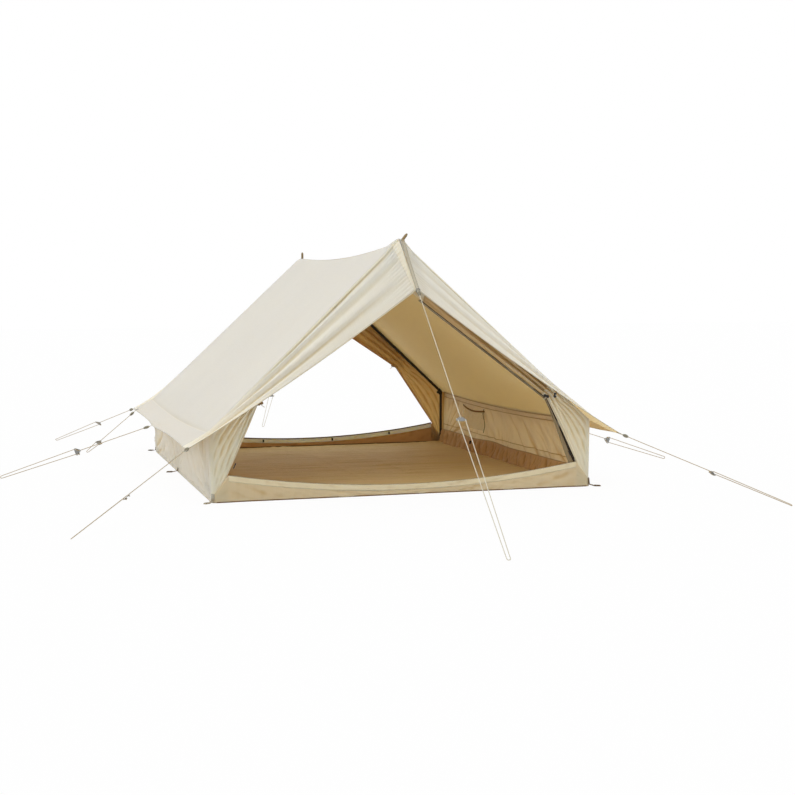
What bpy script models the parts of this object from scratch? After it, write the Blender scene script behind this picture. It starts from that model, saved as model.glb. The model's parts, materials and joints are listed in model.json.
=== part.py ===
"""A ridge tent for a family: canvas on two frames of steel poles, held out by guy ropes with sliding tensioners.

Metres, +Z up. The open front faces -Y, the middle of the floor is the origin and the ground is z = 0.
"""

import math
from functools import partial

import bmesh
import bpy
from mathutils import Matrix, Vector

# Body of the tent
floor_width = 2.20
floor_depth = 2.80
peak_height = 1.425
crown_radius = 0.055
eave_height = 0.385
eave_spread = 0.012
frame_lean = 0.030

# The front frame doesn't stand plumb, so its peak is off to the left by this much
front_sway = 0.036

# Cloth
canvas = 0.002
webbing = 0.0016
webbing_width = 0.020
seam_gap = 0.0006
ridge_sag = 0.043
eave_sag = 0.030
roof_belly = 0.012

# Eave flap, beyond the seam of roof and wall
flap_reach = 0.131
flap_drop = 0.075
flap_tip = 0.028
flap_corner = 0.012
tongue_length = 0.042
tongue_root = 0.014
strap_end = 0.010

# Hoods over the two gables
hood_drop = 0.262
hood_depth = 0.165
hood_corner_depth = 0.120
hood_edge_sag = 0.026
hood_belly = 0.012

# The front hood's tip is drawn to the right of its seam by the guy rope
front_tip_shift = 0.046

# Doors, drawn to the sides
door_top = 1.17
gather_inset = 0.260
gather_height = 0.520
gather_width = 0.078
threshold_height = 0.060
threshold_rise = 0.088
threshold_inset = 0.085
pleat_count = 3
pleat_depth = 0.024
screen_width = 0.040

# Zip of a screen, and the slider that rests near its lower end
zip_inset = 0.18
zip_rest = 0.030
slider_length = 0.009
slider_width = 0.006
slider_height = 0.0035
tab_length = 0.022
tab_thickness = 0.0012

# Floor
groundsheet = 0.003
band_height = 0.100
band_lean = 0.004

# Wall pocket, inside on the right
pocket_front = 0.407
pocket_back = 0.871
pocket_top = 0.310
pocket_bottom = 0.165
pocket_bulge = 0.028
pocket_droop = 0.018

# Steel frame
pole_diameter = 0.019
pole_wall = 0.0011
collar_diameter = 0.025
spigot_length = 0.040
spigot_clearance = 0.0006
elbow_reach = 0.024
elbow_bend = 0.020
hub_reach = 0.052
foot_diameter = 0.025
foot_height = 0.030
spike_diameter = 0.009
spike_height = 0.046
front_spike_lean = 38.0
pole_inset = 0.022
pole_clearance = 0.004
joint_gap = 0.0005

# Guy ropes and their tensioners
rope_diameter = 0.004
rope_bend = 0.008
plate_thickness = 0.0025
plate_corner = 0.0075
plate_hole = 0.009
hole_spacing = 0.036
hole_advance = 0.022
rope_lift = 0.0048
knot_stub = 0.007

# Each guy rope: where its peg stands, how far its tensioner is from that peg, and the plate's turn in degrees
guys = {
    "front": (-0.175, -3.459, 1.035, 0.0),
    "rear": (0.016, 3.138, 0.534, 0.0),
    "left_front": (-1.885, -2.375, 0.506, 35.0),
    "left_middle": (-2.193, 0.060, 0.502, 70.0),
    "left_rear": (-1.769, 2.456, 0.652, 35.0),
    "left_rear_side": (-1.590, 1.432, 0.130, 40.0),
    "right_front": (1.752, -2.492, 0.516, -35.0),
    "right_middle": (2.141, -0.295, 0.422, -70.0),
    "right_rear": (1.769, 2.456, 0.652, -35.0),
    "right_rear_side": (1.590, 1.432, 0.130, -40.0),
}

# Shares of a roof panel's width where the seam lies, and of its length where the rear side rope pulls
seam_share = 0.75
rear_tongue_share = 0.93

# Distances from the middle of the tent to a roof panel's upper edge and to its seam with the wall
ridge_x = canvas / 2 + seam_gap
seam_x = floor_width / 2 + eave_spread

# The two slopes of the roof would meet at the peak, but the cloth is rounded off below it over the ridge joint
roof_slope = math.atan2(peak_height - eave_height, seam_x)
ridge_height = peak_height - crown_radius * (1 / math.cos(roof_slope) - 1)
crown_x = crown_radius * math.sin(roof_slope)

# Columns of a roof panel's grid over the rounded ridge, down the slope and across the flap
crown_steps = 3
slope_steps = 6
flap_steps = 2

# Distances from the middle to a gathered door's tie and to the end of a threshold
gather_x = floor_width / 2 - gather_inset
threshold_end = floor_width / 2 - threshold_inset

sides = {"left": -1, "right": 1}
ends = {"front": -1, "rear": 1}


def material(name, colour, roughness, metallic=0.0):
    made = bpy.data.materials.new(name)
    made.use_nodes = True
    made.diffuse_color = (*colour, 1)
    shader = made.node_tree.nodes["Principled BSDF"]
    shader.inputs["Base Color"].default_value = (*colour, 1)
    shader.inputs["Roughness"].default_value = roughness
    shader.inputs["Metallic"].default_value = metallic
    return made


def collection(name):
    made = bpy.data.collections.new(name)
    bpy.context.scene.collection.children.link(made)
    return made


def add_object(name, data, finish=None, helper=False):
    made = bpy.data.objects.new(name, data)
    (helpers if helper else tent).objects.link(made)
    if finish is not None:
        data.materials.clear()
        data.materials.append(finish)
    if helper:
        made.hide_render = True
        made.display_type = "WIRE"
    return made


def join(target, tool, operation):
    """Cuts the tool from the target, or unites them, with a Boolean."""
    change = target.modifiers.new(tool.name, "BOOLEAN")
    change.operation = operation
    change.object = tool
    change.solver = "EXACT"


def cloth(name, place, columns, rows, finish, thickness=canvas):
    """A sheet of cloth whose middle surface is place(across, along), both from 0 to 1."""
    mesh = bpy.data.meshes.new(name)
    shape = bmesh.new()
    bmesh.ops.create_grid(shape, x_segments=columns, y_segments=rows, size=0.5)
    for point in shape.verts:
        point.co = swayed(place(point.co.x + 0.5, point.co.y + 0.5))
    shape.to_mesh(mesh)
    shape.free()
    mesh.shade_smooth()
    made = add_object(name, mesh, finish)
    body = made.modifiers.new("Thickness", "SOLIDIFY")
    body.thickness = thickness
    body.offset = 0
    body.use_even_offset = True
    return made


def outward(made, towards):
    """Turns a sheet's grid over where its faces look away from the given direction."""
    mesh = made.data
    facing = sum((face.normal * face.area for face in mesh.polygons), Vector())
    if facing.dot(towards) < 0:
        mesh.flip_normals()
    return made


def turned(name, profile, finish, steps=16):
    """A body turned about its own Z axis from (radius, height) points that run down its outside."""
    mesh = bpy.data.meshes.new(name)
    shape = bmesh.new()
    points = [shape.verts.new((radius, 0, height)) for radius, height in profile]
    closed = profile[0][0] > 0 and profile[-1][0] > 0
    for first, second in zip(points, points[1:] + points[:1] if closed else points[1:]):
        shape.edges.new((first, second))
    shape.to_mesh(mesh)
    shape.free()
    made = add_object(name, mesh, finish)
    screw = made.modifiers.new("Turn", "SCREW")
    screw.steps = screw.render_steps = steps
    screw.use_merge_vertices = True
    screw.merge_threshold = 0.00005
    screw.use_smooth_shade = True
    return made


def aim(made, start, direction):
    """Puts a turned body's origin at start, with its Z axis along direction."""
    made.matrix_world = Matrix.Translation(start) @ direction.to_track_quat("Z", "Y").to_matrix().to_4x4()


def wire(name, points, radii, finish, helper=False):
    """A round rod or rope along the points, which are (x, y, z) places, with a radius at each."""
    curve = bpy.data.curves.new(name, "CURVE")
    curve.dimensions = "3D"
    curve.bevel_depth = 1.0
    curve.bevel_resolution = 2
    curve.use_fill_caps = True
    spline = curve.splines.new("POLY")
    spline.points.add(len(points) - 1)
    for target, place, radius in zip(spline.points, points, radii):
        target.co = (*place, 1)
        target.radius = radius
    return add_object(name, curve, finish, helper)


def as_mesh(rod):
    """The same rod as a mesh with welded caps, under the same name."""
    bpy.context.view_layer.update()
    graph = bpy.context.evaluated_depsgraph_get()
    mesh = bpy.data.meshes.new_from_object(rod.evaluated_get(graph))
    shape = bmesh.new()
    shape.from_mesh(mesh)
    bmesh.ops.remove_doubles(shape, verts=shape.verts, dist=0.00001)
    shape.to_mesh(mesh)
    shape.free()
    name = rod.name
    finish = rod.data.materials[0]
    place = rod.matrix_world.copy()
    bpy.data.objects.remove(rod)
    made = add_object(name, mesh, finish)
    made.matrix_world = place
    return made


def rounded(corners, bend, steps):
    """A path through the corners with each one rounded to an arc of radius bend, drawn in that many chords."""
    path = [corners[0]]
    for before, corner, after in zip(corners, corners[1:], corners[2:]):
        back = (before - corner).normalized()
        ahead = (after - corner).normalized()
        half = back.angle(ahead) / 2
        reach = bend / math.tan(half)
        centre = corner + (back + ahead).normalized() * bend / math.sin(half)
        first = corner + back * reach - centre
        turn = math.pi - 2 * half
        axis = back.cross(ahead)
        for step in range(steps + 1):
            path.append(centre + Matrix.Rotation(-turn * step / steps, 3, axis) @ first)
    path.append(corners[-1])
    return path


def end_y(height):
    """Distance of either gable from the middle of the tent at a height, because the frames lean in."""
    return floor_depth / 2 - frame_lean * height / ridge_height


def swayed(point):
    """A point above the eaves moved sideways with its frame: all of the sway in front and none at the rear."""
    lift = max(0, point.z - eave_height) / (ridge_height - eave_height)
    share = 0.5 - point.y / floor_depth
    return point - Vector((front_sway * share * lift, 0, 0))


def section_height(x):
    """Height of the roof's cloth over a frame at a distance from the middle."""
    if x < crown_x:
        return ridge_height - crown_radius + math.sqrt(crown_radius**2 - x**2)
    return eave_height + (seam_x - x) * math.tan(roof_slope)


def roof_point(side, across, along):
    """The roof's middle surface: across runs from the ridge to the flap's edge, along from -1 in front to 1."""
    settled = 1 - along**2
    if across <= seam_share:
        down = across / seam_share
        x = ridge_x + down * (seam_x - ridge_x)
        hang = ridge_sag + down * (eave_sag - ridge_sag) + 4 * roof_belly * down * (1 - down)
        z = section_height(x) - settled * hang
    else:
        out = (across - seam_share) / (1 - seam_share)
        reach = flap_reach + flap_tip * (1 - abs(along)) ** 4 + flap_corner * along**6
        x = seam_x + out * reach
        z = (1 - out) * (eave_height - settled * eave_sag) + out * (eave_height - flap_drop)
    return Vector((side * x, along * end_y(z), z))


def roof_share(columns_share):
    """Share of a roof panel's width at a share of its columns, which are close together over the rounded ridge."""
    crown_share = seam_share * (crown_x - ridge_x) / (seam_x - ridge_x)
    column = columns_share * (crown_steps + slope_steps + flap_steps)
    if column <= crown_steps:
        return crown_share * column / crown_steps
    if column <= crown_steps + slope_steps:
        return crown_share + (seam_share - crown_share) * (column - crown_steps) / slope_steps
    return seam_share + (1 - seam_share) * (column - crown_steps - slope_steps) / flap_steps


def hood_apex(side, end):
    start = roof_point(side, 0, end)
    return start + Vector((0, end * hood_depth, -hood_drop))


def tip_shift(end):
    return front_tip_shift if end < 0 else 0


def hood_corner(side, end):
    start = roof_point(side, 1, end)
    return start + Vector((-side * seam_gap * 20, end * hood_corner_depth, 0))


def hood_point(side, end, across, out):
    """A hood's middle surface, from the crease over the frame, where out is 0, to the free edge, where it is 1."""
    crease = roof_point(side, across, end)
    widest = roof_point(side, 1, end).x
    share = crease.x / widest
    edge = hood_apex(side, end).lerp(hood_corner(side, end), share)
    edge.z -= hood_edge_sag * 4 * share * (1 - share)
    edge.x += (crease.x - edge.x + tip_shift(end)) * (1 - share)
    crease.y += end * (canvas / 2 + seam_gap)
    point = crease.lerp(edge, out)
    point.y += end * hood_belly * 4 * share * (1 - share) * math.sin(math.pi * out)
    return point


def guy_exit(name):
    """Where each guy rope's tongue or strap starts, on the cloth."""
    if name in ends:
        return swayed(strap_line(ends[name])[1])
    side = sides[name.split("_")[0]]
    if name.endswith("front"):
        return swayed(hood_corner(side, -1))
    if name.endswith("middle"):
        return swayed(roof_point(side, 1, 0))
    if name.endswith("side"):
        return swayed(roof_point(side, 1, rear_tongue_share))
    return swayed(hood_corner(side, 1))


def peg_place(name):
    """Where a rope turns round its peg: as low as the loop, which leans with the plate, can lie on the ground."""
    peg_x, peg_y, _, turn = guys[name]
    return Vector((peg_x, peg_y, rope_diameter + rope_bend * abs(math.sin(math.radians(turn)))))


def guy_direction(name):
    return (peg_place(name) - guy_exit(name)).normalized()


def rope_start(name):
    return guy_exit(name) + guy_direction(name) * tongue_length


def strap_line(end):
    """The two ends of the webbing over a hood's middle seam, which stands clear of the cloth beneath."""
    peak = roof_point(1, 0, end) * Vector((0, 1, 1))
    apex = hood_apex(1, end) * Vector((0, 1, 1))
    down = (apex - peak).normalized()
    outer = Vector((0, end * -down.z, abs(down.y)))
    apex.x = tip_shift(end)
    run = (apex - peak).normalized()
    offset = outer * (canvas + webbing / 2 + seam_gap)
    return peak + offset, apex + offset + run * strap_end


def tongue(name, owner, root):
    """A short end of webbing, sewn to the edge of a cloth, that a guy rope pulls on."""
    direction = guy_direction(name)
    length = tongue_length + root
    mesh = bpy.data.meshes.new(name + "_tongue")
    shape = bmesh.new()
    bmesh.ops.create_cube(shape, size=1)
    bmesh.ops.scale(shape, vec=(length, webbing_width, webbing), verts=shape.verts)
    shape.to_mesh(mesh)
    shape.free()
    helper = add_object(name + "_tongue", mesh, helper=True)
    across = direction.cross(Vector((0, 0, 1))).normalized()
    upward = across.cross(direction)
    frame = Matrix((direction, -across, upward)).transposed().to_4x4()
    centre = guy_exit(name) + direction * (length / 2 - root)
    helper.matrix_world = Matrix.Translation(centre) @ frame
    join(owner, helper, "UNION")


def frame_offset():
    """From the roof cloth's middle to the axis of the rafter beneath it."""
    return canvas / 2 + pole_clearance + collar_diameter / 2


def pole_place(x, height, end):
    return swayed(Vector((x, end * (end_y(height) - pole_inset), height)))


def hub_centre(end):
    height = peak_height - frame_offset() / math.cos(roof_slope)
    return pole_place(0, height, end)


def elbow_centre(side, end):
    x = floor_width / 2 - canvas - pole_clearance - collar_diameter / 2
    height = hub_centre(end).z - x * math.tan(roof_slope)
    return pole_place(side * x, height, end)


def foot_place(side, end):
    x = elbow_centre(side, end).x
    return pole_place(x, groundsheet + joint_gap, end)


def bore_radius():
    return pole_diameter / 2 - pole_wall


def rafter(side, end, name):
    """A steel tube, open at both ends, from hub to elbow."""
    top = hub_centre(end)
    bottom = elbow_centre(side, end)
    direction = (top - bottom).normalized()
    start = bottom + direction * (elbow_reach + joint_gap)
    length = (top - bottom).length - elbow_reach - hub_reach - 2 * joint_gap
    outer = pole_diameter / 2
    made = turned(name, [(outer, length), (outer, 0), (bore_radius(), 0), (bore_radius(), length)], steel)
    aim(made, start, direction)


def leg(side, end, name):
    """A steel tube whose lower end carries a moulded foot; its upper end is open for the elbow's spigot."""
    foot = foot_place(side, end)
    head = elbow_centre(side, end)
    direction = (head - foot).normalized()
    length = (head - foot).length - elbow_reach - joint_gap
    outer = pole_diameter / 2
    sole = foot_diameter / 2
    edge = (sole - outer) / 2
    profile = [
        (0, foot_height),
        (bore_radius(), foot_height),
        (bore_radius(), length),
        (outer, length),
        (outer, foot_height),
        (sole, foot_height - edge),
        (sole, edge),
        (sole - edge, 0),
        (0, 0),
    ]
    made = turned(name, profile, steel)
    aim(made, foot, direction)


def spigot_rod(centre, first, second, reach, bend):
    """Points and radii of a bent rod with a collar over the bend and a thin spigot at each end."""
    thin = bore_radius() - spigot_clearance
    thick = collar_diameter / 2
    corners = [centre + first * reach, centre, centre + second * reach]
    path = rounded(corners, bend, 4)
    points = [centre + first * (reach + spigot_length), path[0] + first * joint_gap / 2]
    points += path
    points += [path[-1] + second * joint_gap / 2, centre + second * (reach + spigot_length)]
    radii = [thin, thin] + [thick] * len(path) + [thin, thin]
    return points, radii


def elbow(side, end, name):
    """The bent eave joint, pushed into the tops of the leg and the rafter."""
    centre = elbow_centre(side, end)
    down = (foot_place(side, end) - centre).normalized()
    up = (hub_centre(end) - centre).normalized()
    points, radii = spigot_rod(centre, down, up, elbow_reach, elbow_bend)
    wire(name, points, radii, steel)


def spike_axis(end):
    """From the middle of the ridge joint out through the roof: upright behind, and leaning to the right in front."""
    lean = math.radians(front_spike_lean) if end < 0 else 0
    return Vector((math.sin(lean), 0, math.cos(lean)))


def spike_root(end):
    """The highest point of the ridge joint's bent axis."""
    return hub_centre(end) - Vector((0, 0, hub_bend() * (1 / math.cos(roof_slope) - 1)))


def hub_bend():
    """The ridge joint curves with the cloth above it."""
    return crown_radius - frame_offset()


def hub(end, name):
    """The ridge joint: two sloping sockets and the spike that comes out through the roof."""
    centre = hub_centre(end)
    left = (elbow_centre(-1, end) - centre).normalized()
    right = (elbow_centre(1, end) - centre).normalized()
    points, radii = spigot_rod(centre, left, right, hub_reach, hub_bend())
    made = as_mesh(wire(name, points, radii, steel))
    mesh = bpy.data.meshes.new(name + "_spike")
    shape = bmesh.new()
    axis = spike_axis(end)
    start = spike_root(end)
    length = (ridge_height + spike_height - start.z) / axis.z
    radius = spike_diameter / 2
    bmesh.ops.create_cone(
        shape, cap_ends=True, segments=12, radius1=radius, radius2=radius * 0.8, depth=length
    )
    shape.to_mesh(mesh)
    shape.free()
    spike = add_object(name + "_spike", mesh, helper=True)
    aim(spike, start + axis * length / 2, axis)
    join(made, spike, "UNION")


def spike_hole(end, name, panels):
    """The eyelet that lets the spike through the roof."""
    mesh = bpy.data.meshes.new(name)
    shape = bmesh.new()
    radius = spike_diameter / 2 + 2 * seam_gap
    bmesh.ops.create_cone(
        shape, cap_ends=True, segments=16, radius1=radius, radius2=radius, depth=2 * spike_height
    )
    shape.to_mesh(mesh)
    shape.free()
    cutter = add_object(name, mesh, helper=True)
    axis = spike_axis(end)
    start = spike_root(end)
    aim(cutter, start + axis * (ridge_height - start.z) / axis.z, axis)
    for panel in panels:
        join(panel, cutter, "DIFFERENCE")


def roof(side, name):
    columns = crown_steps + slope_steps + flap_steps
    made = cloth(name, lambda u, v: roof_point(side, roof_share(u), 2 * v - 1), columns, 12, sand_canvas)
    return outward(made, Vector((side, 0, 1)))


def hood(side, end, name):
    columns = crown_steps + slope_steps + flap_steps
    made = cloth(name, lambda u, v: hood_point(side, end, roof_share(u), v), columns, 3, sand_canvas)
    return outward(made, Vector((side, end, 0.5)))


def wall(side, name):
    """A low side wall, from under the eave seam to the ground."""
    foot_x = floor_width / 2
    head_x = foot_x + eave_spread - canvas / 2

    def place(up, along):
        share = 2 * along - 1
        seam = roof_point(side, seam_share, share).z
        head = seam - canvas - seam_gap
        z = seam_gap + up * (head - seam_gap)
        lean = up * (head_x - foot_x)
        return Vector((side * (foot_x + lean), share * end_y(z), z))

    return outward(cloth(name, place, 2, 12, sand_canvas), Vector((side, 0, 0)))


def along_stations(stations, values, share):
    """The point at a share of the way along a broken line whose corners lie at the given shares."""
    for index in range(len(stations) - 1):
        low, high = stations[index], stations[index + 1]
        if share <= high:
            return values[index].lerp(values[index + 1], (share - low) / (high - low))
    return values[-1]


# Shares of a door's height where the gather, the eave corner and the threshold's end lie
door_stations = (0.0, 0.55, 0.70, 0.85, 1.0)


def under_roof(x):
    """Height just beneath the roof's end edge at a distance from the middle."""
    return section_height(x) - (canvas / 2 + seam_gap) / math.cos(roof_slope)


def door_outline():
    """The fixed edge along frame and wall, and the free edge, as (x, 0, height) corners at the stations."""
    corner = floor_width / 2 - canvas / 2 - seam_gap
    anchor = gather_x + gather_width * math.sin(roof_slope)
    threshold_top = threshold_height + threshold_rise
    fixed = [
        (crown_x, under_roof(crown_x)),
        (anchor, under_roof(anchor)),
        (corner, under_roof(corner)),
        (corner, threshold_top),
        (corner, seam_gap),
    ]
    free_x = threshold_end + seam_gap
    part = (door_stations[2] - door_stations[1]) / (door_stations[3] - door_stations[1])
    free = [
        (ridge_x, door_top),
        (gather_x, gather_height),
        (
            gather_x + part * (free_x - gather_x),
            gather_height + part * (threshold_top - gather_height),
        ),
        (free_x, threshold_top),
        (free_x, seam_gap),
    ]
    return [[Vector((x, 0, z)) for x, z in line] for line in (fixed, free)]


def door(side, end, name):
    """An outer door flap, drawn to its side: a pleated band under the rafter that fans out below the gather."""
    fixed, free = door_outline()

    def place(across, down):
        outer = along_stations(door_stations, fixed, down)
        inner = along_stations(door_stations, free, down)
        point = outer.lerp(inner, across)
        gathered = math.exp(-(((down - door_stations[1]) / 0.22) ** 2))
        depth = pleat_depth * (0.15 + 0.85 * gathered) * min(1, 3 * across) * min(1, 12 * (1 - down))
        fold = depth * (0.5 - 0.5 * math.cos(2 * math.pi * pleat_count * across))
        y = end_y(point.z) - canvas - seam_gap + fold
        return Vector((side * point.x, end * y, point.z))

    made = cloth(name, place, 4 * pleat_count, 20, sand_canvas)
    return outward(made, Vector((0, end, 0)))


def screen_point(side, end, across, down):
    """The inner mesh door's edge: across runs inwards from its zip, down from the peak to the threshold."""
    edge_gap = 4 * canvas
    outer = along_stations(door_stations, door_outline()[1], 0.02 + 0.80 * down)
    width = screen_width * (0.45 + 0.55 * max(0, down - 0.66) / 0.34)
    inward = edge_gap + width * across
    x = max(outer.x - inward, canvas)
    height = outer.z - 0.4 * inward
    return Vector((side * x, end * (end_y(height) - 2 * canvas), height))


def screen(side, end, name):
    """The edge of the inner mesh door that shows inside the free edge of the outer one, with its zip."""
    made = cloth(name, partial(screen_point, side, end), 2, 12, mesh_cloth, thickness=canvas / 2)
    return outward(made, Vector((0, end, 0)))


def zip_frame(side, end):
    """Origin on the zip, where its slider rests: X runs up the zip, Y across it and Z out of the mesh."""
    low = screen_point(side, end, zip_inset, 1)
    high = screen_point(side, end, zip_inset, 0.7)
    up = (high - low).normalized()
    inner = screen_point(side, end, 1, 1)
    out = up.cross(inner - low).normalized()
    if out.y * end < 0:
        out = -out
    origin = low + up * zip_rest + out * (canvas / 4 + joint_gap)
    return Matrix.Translation(origin) @ Matrix((up, out.cross(up), out)).transposed().to_4x4()


def zip_pull(side, end, name):
    """The slider of a screen's zip with its tab, which hangs down over the teeth."""
    body = slider_length / 2
    profile = [
        (body, 0),
        (body, slider_height),
        (-body, slider_height),
        (-body, tab_thickness),
        (-body - tab_length, tab_thickness),
        (-body - tab_length, 0),
    ]
    mesh = bpy.data.meshes.new(name)
    shape = bmesh.new()
    half = slider_width / 2
    layers = [[shape.verts.new((x, y, z)) for x, z in profile] for y in (-half, half)]
    shape.faces.new(layers[0])
    shape.faces.new(reversed(layers[1]))
    for index in range(len(profile)):
        after = (index + 1) % len(profile)
        shape.faces.new((layers[0][index], layers[1][index], layers[1][after], layers[0][after]))
    bmesh.ops.recalc_face_normals(shape, faces=shape.faces)
    shape.to_mesh(mesh)
    shape.free()
    made = add_object(name, mesh, black_plastic)
    made.matrix_world = zip_frame(side, end)


def threshold(end, name):
    """The upstand of the floor across a doorway, higher at its two ends."""
    reach = threshold_end - seam_gap

    def place(across, up):
        x = (2 * across - 1) * reach
        top = threshold_height + threshold_rise * (x / reach) ** 2
        z = seam_gap + up * (top - seam_gap)
        return Vector((x, end * (end_y(z) - canvas - seam_gap), z))

    return outward(cloth(name, place, 12, 1, sand_canvas), Vector((0, end, 0)))


def floor_sheet(name):
    mesh = bpy.data.meshes.new(name)
    shape = bmesh.new()
    inset = 2 * canvas + 2 * seam_gap
    width = floor_width - 2 * inset
    depth = floor_depth - 2 * (inset + canvas)
    bmesh.ops.create_cube(shape, size=1)
    bmesh.ops.scale(shape, vec=(width, depth, groundsheet), verts=shape.verts)
    shape.to_mesh(mesh)
    shape.free()
    made = add_object(name, mesh, tan_groundsheet)
    made.location = (0, 0, groundsheet / 2)


def side_band(side, name):
    """The side of the groundsheet, turned up against the wall between the two legs."""
    x = floor_width / 2 - 3 * canvas - 2 * seam_gap
    reach = end_y(0) - pole_inset - foot_diameter / 2 - pole_clearance

    def place(up, along):
        y = (2 * along - 1) * reach
        low = groundsheet + seam_gap
        return Vector((side * (x - band_lean * up), y, low + up * (band_height - low)))

    return outward(cloth(name, place, 1, 10, tan_groundsheet), Vector((-side, 0, 0)))


def pocket(name):
    """A pouch sewn to the inside of the right wall, open at the top."""
    wall_x = floor_width / 2 - canvas - 2 * seam_gap - canvas / 2

    def place(along, up):
        y = pocket_front + along * (pocket_back - pocket_front)
        bulge = pocket_bulge * math.sin(math.pi * along) ** 0.6 * math.sin(math.pi * (0.08 + 0.62 * up))
        droop = pocket_droop * math.sin(math.pi * along) * up
        return Vector((wall_x - bulge, y, pocket_bottom + up * (pocket_top - pocket_bottom) - droop))

    return outward(cloth(name, place, 10, 5, tan_canvas), Vector((-1, 0, 0)))


def strap(end, name):
    """The webbing over the hood's middle seam, from the peak down to the guy rope."""
    start, stop = strap_line(end)

    def place(across, down):
        return start.lerp(stop, down) + Vector(((across - 0.5) * webbing_width, 0, 0))

    return outward(cloth(name, place, 2, 4, grey_webbing, thickness=webbing), Vector((0, end, 0)))


def guy_frame(name):
    """Origin on the plate's first hole, with X along the rope, Y across the plate and Z square to it."""
    loop, turn = guys[name][2:]
    peg = peg_place(name)
    along = (peg - rope_start(name)).normalized()
    across = Vector((0, 0, 1)).cross(along).normalized()
    across = Matrix.Rotation(math.radians(turn), 3, along) @ across
    above = along.cross(across)
    origin = peg - along * loop - above * rope_lift
    return Matrix.Translation(origin) @ Matrix((along, across, above)).transposed().to_4x4()


def guy_rope(name):
    """From the cloth down through the plate's first hole, up through the second, round the peg and back to the third."""
    frame = guy_frame(name)
    loop = guys[name][2]
    dip = rope_lift / math.tan(math.radians(60))
    half = hole_spacing / 2
    second = Vector((hole_advance, half, 0))
    third = Vector((hole_advance, -half, 0))
    slant = second.normalized()
    peg_end = loop - rope_bend
    lift = Vector((0, 0, rope_lift))

    def leg_direction(hole):
        target = Vector((peg_end, math.copysign(rope_bend, hole.y), 0))
        return (target - hole).normalized()

    down_leg = leg_direction(second)
    back_leg = leg_direction(third)
    corners = [
        frame.inverted() @ rope_start(name) + Vector((joint_gap, 0, 0)),
        -slant * dip + lift,
        slant * dip - lift,
        second - down_leg * dip - lift,
        second + down_leg * dip + lift,
        Vector((peg_end + rope_bend, rope_bend, rope_lift)),
        Vector((peg_end + rope_bend, -rope_bend, rope_lift)),
        third + back_leg * dip + lift,
        third - back_leg * dip - lift,
        third - back_leg * (dip + knot_stub) - lift,
    ]
    path = rounded(corners, rope_bend, 2)
    points = [frame @ point for point in path]
    wire("guy_rope_" + name, points, [rope_diameter / 2] * len(points), cream_rope)


def arc(centre, radius, start, stop, steps):
    span = [start + (stop - start) * step / steps for step in range(steps + 1)]
    return [(centre[0] + radius * math.cos(angle), centre[1] + radius * math.sin(angle)) for angle in span]


def plate_outline():
    """The plate's rounded triangle and its three holes, first hole at the origin."""
    half = hole_spacing / 2
    angle = math.atan2(half, hole_advance)
    outer = arc((0, 0), plate_corner, math.pi / 2 + angle, 3 * math.pi / 2 - angle, 4)
    outer += arc((hole_advance, -half), plate_corner, 3 * math.pi / 2 - angle, 2 * math.pi, 4)
    outer += arc((hole_advance, half), plate_corner, 0, math.pi / 2 + angle, 4)
    holes = [
        arc(centre, plate_hole / 2, 0, 2 * math.pi * 11 / 12, 11)
        for centre in ((0, 0), (hole_advance, -half), (hole_advance, half))
    ]
    return [outer] + holes


def tensioner(name):
    """A three-hole triangular plate of aluminium that grips the rope where it is set."""
    curve = bpy.data.curves.new("tensioner_" + name, "CURVE")
    curve.dimensions = "2D"
    curve.fill_mode = "BOTH"
    curve.extrude = plate_thickness / 2
    for outline in plate_outline():
        spline = curve.splines.new("POLY")
        spline.points.add(len(outline) - 1)
        for target, place in zip(spline.points, outline):
            target.co = (*place, 0, 1)
        spline.use_cyclic_u = True
    made = add_object("tensioner_" + name, curve, grey_aluminium)
    made.matrix_world = guy_frame(name)


def build_frame():
    for end_word, end in ends.items():
        hub(end, "ridge_hub_" + end_word)
        for side_word, side in sides.items():
            place = end_word + "_" + side_word
            leg(side, end, "leg_" + place)
            rafter(side, end, "rafter_" + place)
            elbow(side, end, "elbow_" + place)


def build_cloth():
    roofs = {word: roof(side, "roof_" + word) for word, side in sides.items()}
    for end_word, end in ends.items():
        spike_hole(end, "spike_hole_" + end_word, roofs.values())
        tongue(end_word, strap(end, "hood_strap_" + end_word), strap_end / 2)
        threshold(end, "threshold_" + end_word)
        for side_word, side in sides.items():
            place = end_word + "_" + side_word
            made = hood(side, end, "hood_" + place)
            tongue(side_word + "_" + end_word, made, tongue_root)
            door(side, end, "door_" + place)
    for side_word, side in sides.items():
        tongue(side_word + "_middle", roofs[side_word], tongue_root)
        tongue(side_word + "_rear_side", roofs[side_word], tongue_root)
        wall(side, "wall_" + side_word)
        side_band(side, "floor_band_" + side_word)
        screen(side, -1, "screen_front_" + side_word)
        zip_pull(side, -1, "zip_pull_front_" + side_word)
    pocket("wall_pocket")
    floor_sheet("groundsheet")


def build_guys():
    for name in guys:
        guy_rope(name)
        tensioner(name)


for old in list(bpy.data.objects):
    bpy.data.objects.remove(old)

tent = collection("Family tent")
helpers = collection("Cutters and joined shapes")

sand_canvas = material("Sand canvas", (0.70, 0.66, 0.56), 0.9)
tan_canvas = material("Tan canvas", (0.40, 0.27, 0.13), 0.9)
tan_groundsheet = material("Tan groundsheet", (0.30, 0.17, 0.08), 0.7)
mesh_cloth = material("Grey mesh", (0.20, 0.17, 0.12), 0.9)
grey_webbing = material("Grey webbing", (0.42, 0.40, 0.33), 0.8)
cream_rope = material("Cream rope", (0.75, 0.70, 0.57), 0.8)
steel = material("Black painted steel", (0.008, 0.007, 0.005), 0.4, 0.0)
black_plastic = material("Black plastic", (0.012, 0.011, 0.010), 0.5)
grey_aluminium = material("Grey aluminium", (0.35, 0.35, 0.34), 0.45, 1.0)

build_frame()
build_cloth()
build_guys()
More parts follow.
